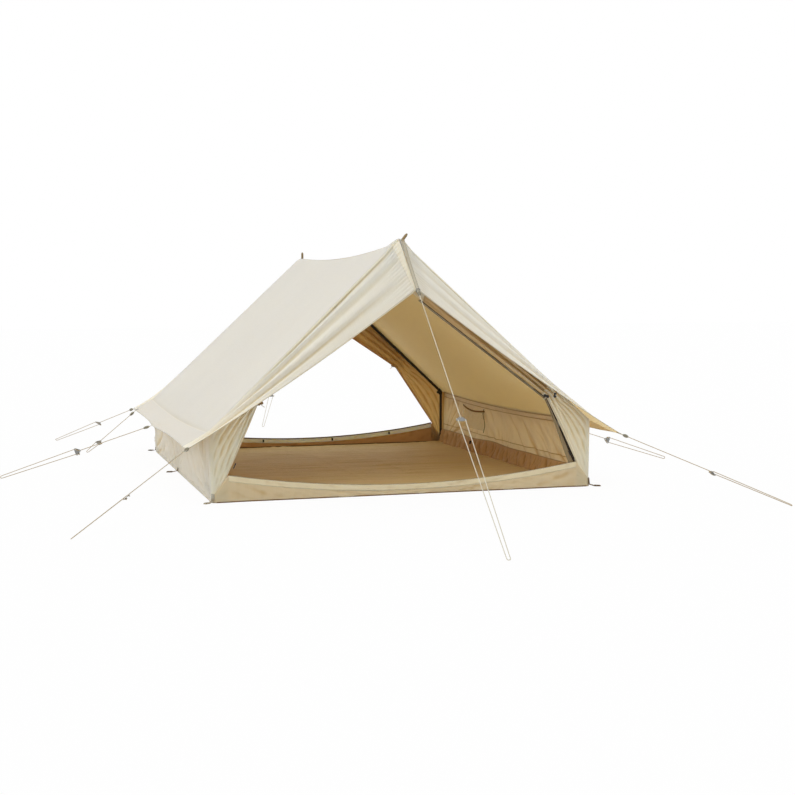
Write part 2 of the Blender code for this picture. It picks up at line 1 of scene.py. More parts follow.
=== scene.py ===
"""A ridge tent of sand-coloured canvas on a black steel frame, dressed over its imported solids.

Metres, +Z up. The open front faces -Y, the middle of the floor is the origin and the ground is z = 0.
"""

import json
import math
from functools import partial

import bmesh
import bpy
from mathutils import Matrix, Vector, noise
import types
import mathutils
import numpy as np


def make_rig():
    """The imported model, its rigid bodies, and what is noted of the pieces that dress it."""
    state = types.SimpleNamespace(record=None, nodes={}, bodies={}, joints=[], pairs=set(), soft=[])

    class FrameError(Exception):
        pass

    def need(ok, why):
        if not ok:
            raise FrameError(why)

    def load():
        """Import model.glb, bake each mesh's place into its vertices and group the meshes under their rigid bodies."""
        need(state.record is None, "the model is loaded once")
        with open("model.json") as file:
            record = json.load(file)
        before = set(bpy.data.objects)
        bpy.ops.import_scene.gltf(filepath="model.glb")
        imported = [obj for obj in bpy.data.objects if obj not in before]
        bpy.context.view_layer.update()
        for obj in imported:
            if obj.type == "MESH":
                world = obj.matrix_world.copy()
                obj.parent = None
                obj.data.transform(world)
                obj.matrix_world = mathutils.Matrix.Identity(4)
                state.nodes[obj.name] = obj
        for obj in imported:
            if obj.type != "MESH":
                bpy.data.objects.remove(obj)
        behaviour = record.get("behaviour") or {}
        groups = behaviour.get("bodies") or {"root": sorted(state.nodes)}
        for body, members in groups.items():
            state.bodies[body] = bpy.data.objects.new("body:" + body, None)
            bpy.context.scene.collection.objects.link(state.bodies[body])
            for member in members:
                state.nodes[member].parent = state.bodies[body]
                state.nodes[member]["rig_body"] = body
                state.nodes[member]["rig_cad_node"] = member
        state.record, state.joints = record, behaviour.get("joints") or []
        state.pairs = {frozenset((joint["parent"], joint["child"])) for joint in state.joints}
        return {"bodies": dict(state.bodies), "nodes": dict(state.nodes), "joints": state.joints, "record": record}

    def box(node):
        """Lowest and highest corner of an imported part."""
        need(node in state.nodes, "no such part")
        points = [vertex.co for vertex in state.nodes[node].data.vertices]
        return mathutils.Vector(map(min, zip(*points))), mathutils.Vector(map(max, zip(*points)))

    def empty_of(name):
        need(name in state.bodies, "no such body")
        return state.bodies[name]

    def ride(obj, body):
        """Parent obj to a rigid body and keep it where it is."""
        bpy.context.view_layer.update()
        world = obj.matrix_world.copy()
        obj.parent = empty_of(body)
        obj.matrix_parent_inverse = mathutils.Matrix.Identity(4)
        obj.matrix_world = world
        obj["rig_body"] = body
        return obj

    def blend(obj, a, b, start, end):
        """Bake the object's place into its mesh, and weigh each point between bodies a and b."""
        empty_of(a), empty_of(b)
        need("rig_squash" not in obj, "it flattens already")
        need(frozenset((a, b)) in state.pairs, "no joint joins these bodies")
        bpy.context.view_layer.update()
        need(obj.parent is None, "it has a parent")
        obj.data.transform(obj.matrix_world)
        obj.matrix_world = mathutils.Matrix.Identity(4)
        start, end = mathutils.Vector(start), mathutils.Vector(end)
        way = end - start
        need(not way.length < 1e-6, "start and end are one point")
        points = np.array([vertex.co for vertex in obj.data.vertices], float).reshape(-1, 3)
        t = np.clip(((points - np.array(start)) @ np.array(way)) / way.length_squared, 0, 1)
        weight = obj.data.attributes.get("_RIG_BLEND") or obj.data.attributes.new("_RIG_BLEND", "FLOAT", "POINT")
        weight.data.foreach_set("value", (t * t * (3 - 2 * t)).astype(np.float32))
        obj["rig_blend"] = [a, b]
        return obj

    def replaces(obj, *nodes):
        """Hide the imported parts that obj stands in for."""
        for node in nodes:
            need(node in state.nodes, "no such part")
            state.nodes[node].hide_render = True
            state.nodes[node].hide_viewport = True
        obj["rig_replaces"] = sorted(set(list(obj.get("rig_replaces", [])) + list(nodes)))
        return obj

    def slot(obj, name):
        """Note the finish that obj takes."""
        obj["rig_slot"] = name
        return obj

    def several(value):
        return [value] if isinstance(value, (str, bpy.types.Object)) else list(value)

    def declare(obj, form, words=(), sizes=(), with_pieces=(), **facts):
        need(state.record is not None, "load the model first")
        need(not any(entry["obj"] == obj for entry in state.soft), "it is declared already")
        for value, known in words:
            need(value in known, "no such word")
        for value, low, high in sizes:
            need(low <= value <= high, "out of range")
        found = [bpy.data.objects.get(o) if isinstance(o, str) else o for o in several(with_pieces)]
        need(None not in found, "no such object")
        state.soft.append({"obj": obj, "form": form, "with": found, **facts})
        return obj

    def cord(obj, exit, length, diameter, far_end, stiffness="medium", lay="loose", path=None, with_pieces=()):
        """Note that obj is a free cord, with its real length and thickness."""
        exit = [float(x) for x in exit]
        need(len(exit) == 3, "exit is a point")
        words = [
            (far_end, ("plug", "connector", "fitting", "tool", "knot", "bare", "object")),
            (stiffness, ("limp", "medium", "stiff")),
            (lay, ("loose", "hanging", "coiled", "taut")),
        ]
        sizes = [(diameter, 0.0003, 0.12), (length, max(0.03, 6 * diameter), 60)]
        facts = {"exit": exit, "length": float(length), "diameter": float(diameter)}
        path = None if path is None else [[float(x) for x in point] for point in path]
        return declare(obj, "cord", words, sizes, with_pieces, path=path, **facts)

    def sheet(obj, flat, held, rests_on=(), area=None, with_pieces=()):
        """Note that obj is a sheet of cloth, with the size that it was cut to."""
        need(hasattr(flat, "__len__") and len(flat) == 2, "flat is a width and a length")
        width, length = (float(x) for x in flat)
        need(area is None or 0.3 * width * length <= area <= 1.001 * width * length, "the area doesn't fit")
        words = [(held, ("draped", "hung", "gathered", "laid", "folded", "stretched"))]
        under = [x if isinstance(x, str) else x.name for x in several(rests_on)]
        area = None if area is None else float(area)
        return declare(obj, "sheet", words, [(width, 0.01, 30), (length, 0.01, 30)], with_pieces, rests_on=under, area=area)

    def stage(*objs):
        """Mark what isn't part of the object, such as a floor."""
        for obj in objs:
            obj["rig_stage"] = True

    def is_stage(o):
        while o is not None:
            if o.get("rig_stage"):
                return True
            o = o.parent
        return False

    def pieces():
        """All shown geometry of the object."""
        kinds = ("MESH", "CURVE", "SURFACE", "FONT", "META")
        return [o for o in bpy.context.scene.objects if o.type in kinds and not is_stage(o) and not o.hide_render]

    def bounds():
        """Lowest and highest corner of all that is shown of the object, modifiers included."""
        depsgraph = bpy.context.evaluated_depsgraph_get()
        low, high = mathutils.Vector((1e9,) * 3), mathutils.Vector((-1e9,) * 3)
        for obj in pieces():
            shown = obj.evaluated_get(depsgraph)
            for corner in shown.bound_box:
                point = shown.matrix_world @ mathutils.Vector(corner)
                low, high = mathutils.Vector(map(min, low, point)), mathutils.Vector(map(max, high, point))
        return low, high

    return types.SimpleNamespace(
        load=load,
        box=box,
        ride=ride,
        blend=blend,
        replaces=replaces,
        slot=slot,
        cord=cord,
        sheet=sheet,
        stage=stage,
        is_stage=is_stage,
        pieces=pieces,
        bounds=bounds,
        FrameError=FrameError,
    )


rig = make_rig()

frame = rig.load()
cad_box = [list(corner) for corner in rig.bounds()]

# Camera
# The photograph was taken from in front and a little to the left, at about the tent's own height,
# with a fairly long lens on a square picture.
camera_place = Vector((-2.1737, -8.7709, 1.0598))
camera_yaw = 0.2793
camera_pitch = 0.067
camera_roll = -0.0063
camera_lens = 62.617


def add_object(name, data):
    made = bpy.data.objects.new(name, data)
    bpy.context.scene.collection.objects.link(made)
    return made


ahead = Vector((math.sin(camera_yaw), math.cos(camera_yaw), 0)) * math.cos(camera_pitch)
ahead.z = -math.sin(camera_pitch)
level = Vector((math.cos(camera_yaw), -math.sin(camera_yaw), 0))
upright = level.cross(ahead)
picture_right = level * math.cos(camera_roll) + upright * math.sin(camera_roll)
picture_up = upright * math.cos(camera_roll) - level * math.sin(camera_roll)
camera = add_object("camera", bpy.data.cameras.new("camera"))
camera.data.lens = camera_lens
camera.data.clip_end = 200
turned_view = Matrix((picture_right, picture_up, -ahead)).transposed().to_4x4()
camera.matrix_world = Matrix.Translation(camera_place) @ turned_view
bpy.context.scene.camera = camera
bpy.context.scene.view_settings.view_transform = "Standard"

# Studio
# A white sweep under even, soft light from all round, and one broad lamp above and to the left.
# The camera and clear or glossy surfaces see plain white, and the floor keeps a faint shadow.
surround_level = 0.74
lamp_level = 0.92
lamp_softness = math.radians(70)
lamp_direction = Vector((0.45, 0.50, -1.0))
floor_side = 120.0
floor_below = 0.001
shadow_share = 0.05
white = (1, 1, 1, 1)
pale_grey = (0.9, 0.9, 0.9, 1)


def first_output(node):
    return next(socket for socket in node.outputs if socket.enabled)


def add_node(tree, kind, inputs=None, to=None, **settings):
    """Adds a node with its settings, sets or links each of its inputs, and links it on to a socket.
    Where an input is a node, it is that node's first output in use."""
    node = tree.nodes.new("ShaderNode" + kind)
    for key, value in settings.items():
        setattr(node, key, value)
    for key, value in (inputs or {}).items():
        if isinstance(value, bpy.types.Node):
            value = first_output(value)
        if isinstance(value, bpy.types.NodeSocket):
            tree.links.new(value, node.inputs[key])
        else:
            node.inputs[key].default_value = value
    if to:
        tree.links.new(first_output(node), to)
    return node


def seen_directly(tree):
    """1 for rays from the camera and for reflections and refractions, and 0 for the light itself."""
    rays = add_node(tree, "LightPath").outputs
    either = add_node(tree, "Math", {0: rays["Is Camera Ray"], 1: rays["Is Glossy Ray"]}, operation="MAXIMUM")
    return add_node(tree, "Math", {0: either, 1: rays["Is Transmission Ray"]}, operation="MAXIMUM")


def add_shape(name, shape, *finishes):
    """Puts a finished shape in the scene as a smooth mesh with its finishes."""
    mesh = bpy.data.meshes.new(name)
    shape.to_mesh(mesh)
    shape.free()
    mesh.shade_smooth()
    for finish in finishes:
        mesh.materials.append(finish)
    return add_object(name, mesh)


world = bpy.data.worlds.new("studio")
world.use_nodes = True
bpy.context.scene.world = world
sky = world.node_tree
sky.nodes.clear()
soft_light = add_node(sky, "Background", {"Color": white, "Strength": surround_level})
white_sweep = add_node(sky, "Background", {"Color": white, "Strength": 1.0})
either_sky = add_node(sky, "MixShader", {0: seen_directly(sky), 1: soft_light, 2: white_sweep})
add_node(sky, "OutputWorld", {"Surface": either_sky})

lamp = add_object("lamp", bpy.data.lights.new("lamp", "SUN"))
lamp.data.energy = lamp_level
lamp.data.angle = lamp_softness
lamp.rotation_euler = lamp_direction.to_track_quat("-Z", "Y").to_euler()

floor_paint = bpy.data.materials.new("white paper")
floor_paint.use_nodes = True
paper = floor_paint.node_tree
matt = paper.nodes["Principled BSDF"]
matt.inputs["Base Color"].default_value = pale_grey
matt.inputs["Roughness"].default_value = 1.0
plain_white = add_node(paper, "Emission", {"Color": white, "Strength": 1.0})
whitened = add_node(paper, "Math", {0: seen_directly(paper), 1: 1 - shadow_share}, operation="MULTIPLY")
surface = paper.nodes["Material Output"].inputs["Surface"]
add_node(paper, "MixShader", {0: whitened, 1: matt, 2: plain_white}, surface)
floor_shape = bmesh.new()
bmesh.ops.create_grid(floor_shape, x_segments=1, y_segments=1, size=floor_side / 2)
floor = add_shape("floor", floor_shape, floor_paint)
floor.location.z = -floor_below
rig.stage(floor)

# Where the cloth lies
# The canvas is cut to lie over the frame: its ridge and eaves sag a little between the two ends,
# each roof panel runs on past the wall as a flap, and a hood reaches out over each gable.
canvas = 0.002
seam_gap = 0.0006
floor_width = 2.20
floor_depth = 2.80
peak_height = 1.425
crown_radius = 0.055
eave_height = 0.385
eave_spread = 0.012
frame_lean = 0.030
front_sway = 0.036
ridge_sag = 0.043
eave_sag = 0.030
roof_belly = 0.012
flap_reach = 0.131
flap_drop = 0.075
flap_tip = 0.028
flap_corner = 0.012
seam_share = 0.75
rear_tongue_share = 0.93
hood_drop = 0.262
hood_depth = 0.165
hood_corner_depth = 0.120
hood_corner_inset = 20 * seam_gap
hood_edge_sag = 0.026
hood_belly = 0.012
front_tip_shift = 0.046
strap_end = 0.010
strap_thickness = 0.0016
ridge_x = canvas / 2 + seam_gap
seam_x = floor_width / 2 + eave_spread
roof_slope = math.atan2(peak_height - eave_height, seam_x)
ridge_height = peak_height - crown_radius * (1 / math.cos(roof_slope) - 1)
crown_x = crown_radius * math.sin(roof_slope)
sides = {"left": -1, "right": 1}
ends = {"front": -1, "rear": 1}
corners = [(end + "_" + side, sides[side], ends[end]) for side in sides for end in ends]


def end_y(height):
    """Distance of either gable from the middle of the tent at a height, because the frames lean in."""
    return floor_depth / 2 - frame_lean * height / ridge_height


def swayed(point):
    """A point above the eaves moved sideways with its frame: by all of the sway in front, not at the rear."""
    lift = max(0, point.z - eave_height) / (ridge_height - eave_height)
    share = 0.5 - point.y / floor_depth
    return point - Vector((front_sway * share * lift, 0, 0))


def section_height(x):
    """Height of the roof over a frame at a distance from the middle: two slopes that meet in an arc."""
    if x < crown_x:
        return ridge_height - crown_radius + math.sqrt(crown_radius**2 - x**2)
    return eave_height + (seam_x - x) * math.tan(roof_slope)


def roof_point(side, across, along):
    """The roof's middle surface: across from the ridge to the flap's edge, along from -1 in front to 1."""
    settled = 1 - along**2
    if across <= seam_share:
        down = across / seam_share
        x = ridge_x + down * (seam_x - ridge_x)
        hang = ridge_sag + down * (eave_sag - ridge_sag) + 4 * roof_belly * down * (1 - down)
        z = section_height(x) - settled * hang
    else:
        out = (across - seam_share) / (1 - seam_share)
        reach = flap_reach + flap_tip * (1 - abs(along)) ** 4 + flap_corner * along**6
        x = seam_x + out * reach
        z = (1 - out) * (eave_height - settled * eave_sag) + out * (eave_height - flap_drop)
    return Vector((side * x, along * end_y(z), z))


def hood_apex(side, end):
    return roof_point(side, 0, end) + Vector((0, end * hood_depth, -hood_drop))


def hood_corner(side, end):
    return roof_point(side, 1, end) + Vector((-side * hood_corner_inset, end * hood_corner_depth, 0))


def tip_shift(end):
    """How far a hood's tip is drawn to the right of its seam by the guy rope."""
    return front_tip_shift if end < 0 else 0


def hood_point(side, end, across, out):
    """A hood's middle surface, from the crease over the frame, out = 0, to the free edge, out = 1."""
    crease = roof_point(side, across, end)
    share = crease.x / roof_point(side, 1, end).x
    edge = hood_apex(side, end).lerp(hood_corner(side, end), share)
    edge.z -= hood_edge_sag * 4 * share * (1 - share)
    edge.x += (crease.x - edge.x + tip_shift(end)) * (1 - share)
    crease.y += end * (canvas / 2 + seam_gap)
    point = crease.lerp(edge, out)
    point.y += end * hood_belly * 4 * share * (1 - share) * math.sin(math.pi * out)
    return point


def strap_line(end):
    """The two ends of the webbing over a hood's middle seam."""
    peak = roof_point(1, 0, end) * Vector((0, 1, 1))
    apex = hood_apex(1, end) * Vector((0, 1, 1))
    down = (apex - peak).normalized()
    outer = Vector((0, end * -down.z, abs(down.y)))
    apex.x = tip_shift(end)
    run = (apex - peak).normalized()
    offset = outer * (canvas + strap_thickness / 2 + seam_gap)
    return peak + offset, apex + offset + run * strap_end


# Guy ropes
# Ten braided polyester cords, each tied to a webbing tongue. A cord goes down through a three-hole
# plate, up through its second hole, round a peg and back to the third, where a knot stops it.
rope_diameter = 0.004
rope_bend = 0.008
hole_spacing = 0.036
hole_advance = 0.022
rope_lift = 0.0048
hole_slant = math.radians(60)
knot_stub = 0.007
tongue_length = 0.042
joint_gap = 0.0005
run_in = 0.016
rope_spacing = 0.018
rope_sides = 10
bend_steps = 6
braid_spacing = 0.0022
braid_slant = math.radians(35)
knot_radius = 0.0042
knot_spread = 1.1
knot_steps = 36
hitch_length = 0.040
hitch_radius = 0.0085
hitch_end_radius = 0.0018
hitch_back = {"left_front": 0.026}
rope_colour = "#E3DCC6"
side_rope_colour = "#C0AA82"
hitch_colour = "#8F8871"
# Bands of the wave texture are this far apart at scale 1
wave_period = 0.314

# Each guy rope: where its peg stands, how far its plate is from that peg, and the plate's turn in degrees
guys = {
    "front": (-0.175, -3.459, 1.035, 0.0),
    "rear": (0.016, 3.138, 0.534, 0.0),
    "left_front": (-1.885, -2.375, 0.506, 35.0),
    "left_middle": (-2.193, 0.060, 0.502, 70.0),
    "left_rear": (-1.769, 2.456, 0.652, 35.0),
    "left_rear_side": (-1.590, 1.432, 0.130, 40.0),
    "right_front": (1.752, -2.492, 0.516, -35.0),
    "right_middle": (2.141, -0.295, 0.422, -70.0),
    "right_rear": (1.769, 2.456, 0.652, -35.0),
    "right_rear_side": (1.590, 1.432, 0.130, -40.0),
}


def linear(colour, share=1.0):
    """The linear colour of an sRGB hex value, darker or lighter by a share."""
    channels = [int(colour[index : index + 2], 16) / 255 for index in (1, 3, 5)]
    channels = [c / 12.92 if c <= 0.04045 else ((c + 0.055) / 1.055) ** 2.4 for c in channels]
    return (*[min(1, c * share) for c in channels], 1.0)


def start_material(name, colour, roughness, others=None):
    """A material with its node tree and its shader's sockets, where those that are even all over are set."""
    made = bpy.data.materials.new(name)
    made.use_nodes = True
    sockets = made.node_tree.nodes["Principled BSDF"].inputs
    values = {"Base Color": linear(colour), "Roughness": roughness, **(others or {})}
    for key, value in values.items():
        sockets[key].default_value = value
    return made, made.node_tree, sockets


def braided(name, colour):
    """Braided polyester cord: its plaited strands catch the light in small slanting steps."""
    made, tree, sockets = start_material(name, colour, 0.72, {"Sheen Weight": 0.25})
    cut = add_node(tree, "UVMap", uv_map="cut")
    strands = {}
    for number, slant in enumerate((braid_slant, -braid_slant)):
        leaning = add_node(tree, "Mapping", {"Vector": cut, "Rotation": (0, 0, slant)})
        scale = wave_period / braid_spacing
        strand = add_node(tree, "TexWave", {"Vector": leaning, "Scale": scale}, bands_direction="Y")
        strands[number] = strand.outputs["Fac"]
    plait = add_node(tree, "Math", strands, operation="MAXIMUM")
    grooves = {"Factor": plait, "A": linear(colour, 0.62), "B": linear(colour)}
    add_node(tree, "Mix", grooves, sockets["Base Color"], data_type="RGBA")
    add_node(tree, "Bump", {"Height": plait, "Distance": 0.0006, "Strength": 0.8}, sockets["Normal"])
    return made


def rounded(path, bend, steps):
    """The same path with each corner rounded to an arc of radius bend, drawn in that many chords."""
    smooth = [path[0]]
    for before, corner, after in zip(path, path[1:], path[2:]):
        back = (before - corner).normalized()
        onward = (after - corner).normalized()
        half = back.angle(onward) / 2
        centre = corner + (back + onward).normalized() * bend / math.sin(half)
        first = corner + back * bend / math.tan(half) - centre
        turn = math.pi - 2 * half
        axis = back.cross(onward)
        for step in range(steps + 1):
            smooth.append(centre + Matrix.Rotation(-turn * step / steps, 3, axis) @ first)
    return smooth + [path[-1]]


def spaced(path, spacing):
    """The same path with points added, so that no two are further apart than the spacing."""
    filled = [path[0]]
    for first, second in zip(path, path[1:]):
        count = max(1, math.ceil((second - first).length / spacing))
        filled += [first.lerp(second, step / count) for step in range(1, count + 1)]
    return filled


def reached(path):
    """The length of a path up to each of its points."""
    lengths = [0.0]
    for first, second in zip(path, path[1:]):
        lengths.append(lengths[-1] + (second - first).length)
    return lengths


def fix(piece, slot, replaced=(), body="root"):
    """Fixes a piece to a body, gives it the slot of its finish and says which solids it stands for."""
    if body:
        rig.ride(piece, body)
    if replaced:
        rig.replaces(piece, *replaced)
    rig.slot(piece, slot)


def tube(name, path, radius, finish, slot, around=rope_sides, body="root", replaced=()):
    """A round piece along the path, closed at both ends, with one radius or a list of them. Its UV map
    is in metres."""
    radii = radius if isinstance(radius, list) else [radius] * len(path)
    shape = bmesh.new()
    cut = shape.loops.layers.uv.new("cut")
    heading = (path[1] - path[0]).normalized()
    across = heading.orthogonal().normalized()
    spokes = [2 * math.pi * step / around for step in range(around)]
    rings = []
    for index, (place, size) in enumerate(zip(path, radii)):
        onward = (path[min(index + 1, len(path) - 1)] - path[max(index - 1, 0)]).normalized()
        across = (heading.rotation_difference(onward) @ across).normalized()
        heading = onward
        above = heading.cross(across)
        ring = [place + size * (across * math.cos(turn) + above * math.sin(turn)) for turn in spokes]
        rings.append([shape.verts.new(spot) for spot in ring])
    lengths = reached(path)
    girth = 2 * math.pi * max(radii)
    for index in range(len(path) - 1):
        for step in range(around):
            places = ((step, index), (step + 1, index), (step + 1, index + 1), (step, index + 1))
            face = shape.faces.new([rings[row][turn % around] for turn, row in places])
            for loop, (turn, row) in zip(face.loops, places):
                loop[cut].uv = (girth * turn / around, lengths[row])
    shape.faces.new(reversed(rings[0]))
    shape.faces.new(rings[-1])
    made = add_shape(name, shape, finish)
    fix(made, slot, replaced, body)
    return made


def guy_exit(name):
    """Where a guy rope's tongue starts, on the cloth, or for the front and rear ropes on a hood's strap."""
    if name in ends:
        return swayed(strap_line(ends[name])[1])
    words = name.split("_")
    side = sides[words[0]]
    if name.endswith("middle"):
        return swayed(roof_point(side, 1, 0))
    if name.endswith("side"):
        return swayed(roof_point(side, 1, rear_tongue_share))
    return swayed(hood_corner(side, ends[words[1]]))


def peg_place(name):
    """Where a rope turns round its peg: as low as the loop, which leans with the plate, can lie."""
    peg_x, peg_y = guys[name][:2]
    lean = abs(math.sin(math.radians(guys[name][3])))
    return Vector((peg_x, peg_y, rope_diameter + rope_bend * lean))


def guy_direction(name):
    return (peg_place(name) - guy_exit(name)).normalized()


def rope_start(name):
    return guy_exit(name) + guy_direction(name) * tongue_length


def guy_frame(name):
    """Origin on the plate's first hole, with X along the rope, Y across the plate and Z square to it."""
    loop, turn = guys[name][2:]
    peg = peg_place(name)
    along = (peg - rope_start(name)).normalized()
    across = Vector((0, 0, 1)).cross(along).normalized()
    across = Matrix.Rotation(math.radians(turn), 3, along) @ across
    above = along.cross(across)
    origin = peg - along * loop - above * rope_lift
    return Matrix.Translation(origin) @ Matrix((along, across, above)).transposed().to_4x4()


def rope_routes(name):
    """The rope's two stretches: from the cloth to the plate, and from there round the peg to its knot."""
    here = guy_frame(name)
    dip = rope_lift / math.tan(hole_slant)
    half = hole_spacing / 2
    second = Vector((hole_advance, half, 0))
    third = Vector((hole_advance, -half, 0))
    slant = second.normalized()
    peg_end = guys[name][2] - rope_bend
    lift = Vector((0, 0, rope_lift))
    down_leg = (Vector((peg_end, rope_bend, 0)) - second).normalized()
    back_leg = (Vector((peg_end, -rope_bend, 0)) - third).normalized()
    above_first = lift - slant * dip
    tied = here.inverted() @ rope_start(name) + Vector((joint_gap, 0, 0))
    entry = above_first + (tied - above_first).normalized() * run_in
    bends = [
        entry,
        above_first,
        slant * dip - lift,
        second - down_leg * dip - lift,
        second + down_leg * dip + lift,
        Vector((peg_end + rope_bend, rope_bend, rope_lift)),
        Vector((peg_end + rope_bend, -rope_bend, rope_lift)),
        third + back_leg * dip + lift,
        third - back_leg * dip - lift,
        third - back_leg * (dip + knot_stub) - lift,
    ]
    stretches = ([tied, entry], rounded(bends, rope_bend, bend_steps))
    return [[here @ point for point in spaced(stretch, rope_spacing)] for stretch in stretches]


def trefoil(angle):
    """A closed overhand knot, seen from its end."""
    x = math.sin(angle) + knot_spread * math.sin(2 * angle)
    y = math.cos(angle) - knot_spread * math.cos(2 * angle)
    return Vector((x, y, -knot_spread * math.sin(3 * angle)))


def whipped_radius(share):
    """Radius of the whipping along its length: it swells in the middle, in five tight turns."""
    bulge = math.sin(math.pi * share) ** 0.5
    return hitch_end_radius + hitch_radius * bulge * (0.80 + 0.20 * math.cos(10 * math.pi * share))


cream_cord = braided("braided polyester cord", rope_colour)
tan_cord = braided("tan braided polyester cord", side_rope_colour)
olive_cord = braided("whipped end of the cord", hitch_colour)
thin = rope_diameter / 2

for guy in guys:
    cord = cream_cord if guy in ends else tan_cord
    plate = "tensioner_" + guy
    rope = ["guy_rope_" + guy]
    upper, lower = rope_routes(guy)
    upper_cord = tube("guy_line_" + guy, upper, thin, cord, "rope", body=None, replaced=rope)
    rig.blend(upper_cord, "root", plate, start=upper[0], end=upper[-1])
    loop_cord = tube("guy_loop_" + guy, lower, thin, cord, "rope", body=None, replaced=rope)
    here = guy_frame(guy)
    loop_start = here @ Vector((hole_advance + run_in, 0, 0))
    loop_end = here @ Vector((guys[guy][2] - 2 * rope_bend, 0, 0))
    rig.blend(loop_cord, plate, "root", start=loop_start, end=loop_end)

    # The stopper knot, of the same cord
    away = (lower[-1] - lower[-2]).normalized()
    turned = away.to_track_quat("Z", "Y").to_matrix()
    petals = [trefoil(2 * math.pi * step / knot_steps) * knot_radius / 2 for step in range(knot_steps + 1)]
    knotted = [lower[-1] + turned @ petal + away * knot_radius for petal in petals]
    knot = tube("knot_" + guy, knotted, thin * 0.9, cord, "rope", body=plate)

    # The cord is whipped to its tongue
    run = guy_direction(guy)
    shares = [step / 24 for step in range(25)]
    back = hitch_back.get(guy, 0.0)
    whipping = [rope_start(guy) + run * ((share - 0.70) * hitch_length - back) for share in shares]
    radii = [whipped_radius(share) for share in shares]
    hitch = tube("hitch_" + guy, whipping, radii, olive_cord, "rope", 14)

    for piece, start, route, far_end, others in (
        (upper_cord, rope_start(guy), upper, "fitting", [plate, hitch]),
        (loop_cord, upper[-1], lower, "knot", [knot]),
    ):
        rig.cord(
            piece,
            exit=start,
            length=reached(route)[-1],
            diameter=rope_diameter,
            far_end=far_end,
            stiffness="limp",
            lay="taut",
            path=route,
            with_pieces=others,
        )

# Steel frame
# Tubes of 19 mm steel with bent joints pushed into their ends, painted a brownish black. The paint
# is thin and satin, a little rougher where the canvas rubs on it.
paint_grain = 0.0015


def patches(tree, grain, detail, streaks=(1, 1, 1), place=None):
    """Uneven patches of about the grain's size in metres, drawn out where a streak's scale is below 1."""
    place = place or add_node(tree, "TexCoord").outputs["Object"]
    drawn_out = add_node(tree, "Mapping", {"Vector": place, "Scale": streaks})
    return add_node(tree, "TexNoise", {"Vector": drawn_out, "Scale": 1 / grain, "Detail": detail})


def mottled(tree, sockets, colour, grain, depth, streaks=(1, 1, 1)):
    """Tints the base colour up and down by the share depth, in patches."""
    uneven = patches(tree, grain, 4.0, streaks)
    tints = {"Factor": uneven, "A": linear(colour, 1 - depth), "B": linear(colour, 1 + depth)}
    return add_node(tree, "Mix", tints, sockets["Base Color"], data_type="RGBA")


def roughened(tree, sockets, grain, least, most, height, strength):
    """Lets the roughness run from least to most with a fine grain, which stands up by a height."""
    add_node(tree, "MapRange", {"Value": grain, "To Min": least, "To Max": most}, sockets["Roughness"])
    add_node(tree, "Bump", {"Height": grain, "Distance": height, "Strength": strength}, sockets["Normal"])


def hard_finish(name, colour, roughness, grain, depth, metallic=0.0):
    """Metal, paint or plastic with its colour a little uneven."""
    made, tree, sockets = start_material(name, colour, roughness, {"Metallic": metallic})
    mottled(tree, sockets, colour, grain, depth)
    return made, tree, sockets


def finish_solids(finish, *beginnings):
    """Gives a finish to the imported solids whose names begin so."""
    for name, node in frame["nodes"].items():
        if name.startswith(beginnings):
            for place in node.material_slots:
                place.material = finish


steel_paint, tree, sockets = hard_finish("satin black paint on steel tube", "#1B160F", 0.42, 0.03, 0.25)
roughened(tree, sockets, patches(tree, paint_grain, 2.0), 0.34, 0.56, 0.0002, 0.4)
finish_solids(steel_paint, "leg_", "rafter_", "elbow_", "ridge_hub_")

# Spikes
# The spike of each ridge joint comes out through an eyelet in the cloth. Its bare steel has browned
# with age, and its tip is rounded.
bare_radius = 0.0082
tip_taper = (0.92, 0.75, 0.40)
spike_roots = {-1: Vector((-0.0352, -1.3481, 1.3872)), 1: Vector((-0.0007, 1.3481, 1.3872))}
spike_lean = {-1: math.radians(38), 1: 0.0}
bare_steel = hard_finish("browned bare steel", "#85714E", 0.42, 0.01, 0.3, 0.6)[0]
for word, end in ends.items():
    axis = Vector((math.sin(spike_lean[end]), 0, math.cos(spike_lean[end])))
    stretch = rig.box("ridge_hub_" + word)[1].z + 0.001 - spike_roots[end].z
    spots = [spike_roots[end] + axis * (stretch / axis.z) * (0.25 + 0.75 * step / 12) for step in range(13)]
    radii = [bare_radius] * 10 + [bare_radius * share for share in tip_taper]
    tube("bare_spike_" + word, spots, radii, bare_steel, "steel", 14)

# Tensioners and zip pulls
# The plates are stamped aluminium, brushed and anodised clear, so they look dull silver with fine
# streaks. The zip pulls are moulded black plastic.
streak_width = 0.0008
plate_colour = "#8E8E8B"
anodised, tree, sockets = start_material("brushed anodised aluminium", plate_colour, 0.40, {"Metallic": 1.0})
roughened(tree, sockets, patches(tree, streak_width, 3.0, (1, 1, 0.08)), 0.30, 0.52, 0.0001, 0.3)
finish_solids(anodised, "tensioner_")
black_plastic = hard_finish("moulded black plastic", "#1A1815", 0.45, 0.004, 0.3)[0]
finish_solids(black_plastic, "zip_pull_")

# Roof
# Two panels of plain-woven cotton and polyester canvas, sewn together at the ridge. Seen from outside
# the cloth is pale sand; inside it glows tan, so its inner face has a colour of its own.
cloth_thickness = 0.0012
seam_thickness = 0.0032
seam_width = 0.016
stitch_pitch = 0.004
stitch_inset = 0.0025
stitch_width = 0.0012
stitch_share = 0.7
slub_length = 0.004
patch_size = 0.45
# The real threads are 0.4 mm apart, too fine to show, so the weave is drawn at three times that
thread_spacing = 0.0012
# How far light travels inside the cloth: about five times its thickness, so daylight glows through
light_depth = 0.006
# In the hollows of folds the light is warmer and weaker: the share of each colour that is left there
hollow_tint = (0.78, 0.70, 0.56, 1)
hollow_reach = 0.018
hollow_full = 0.45
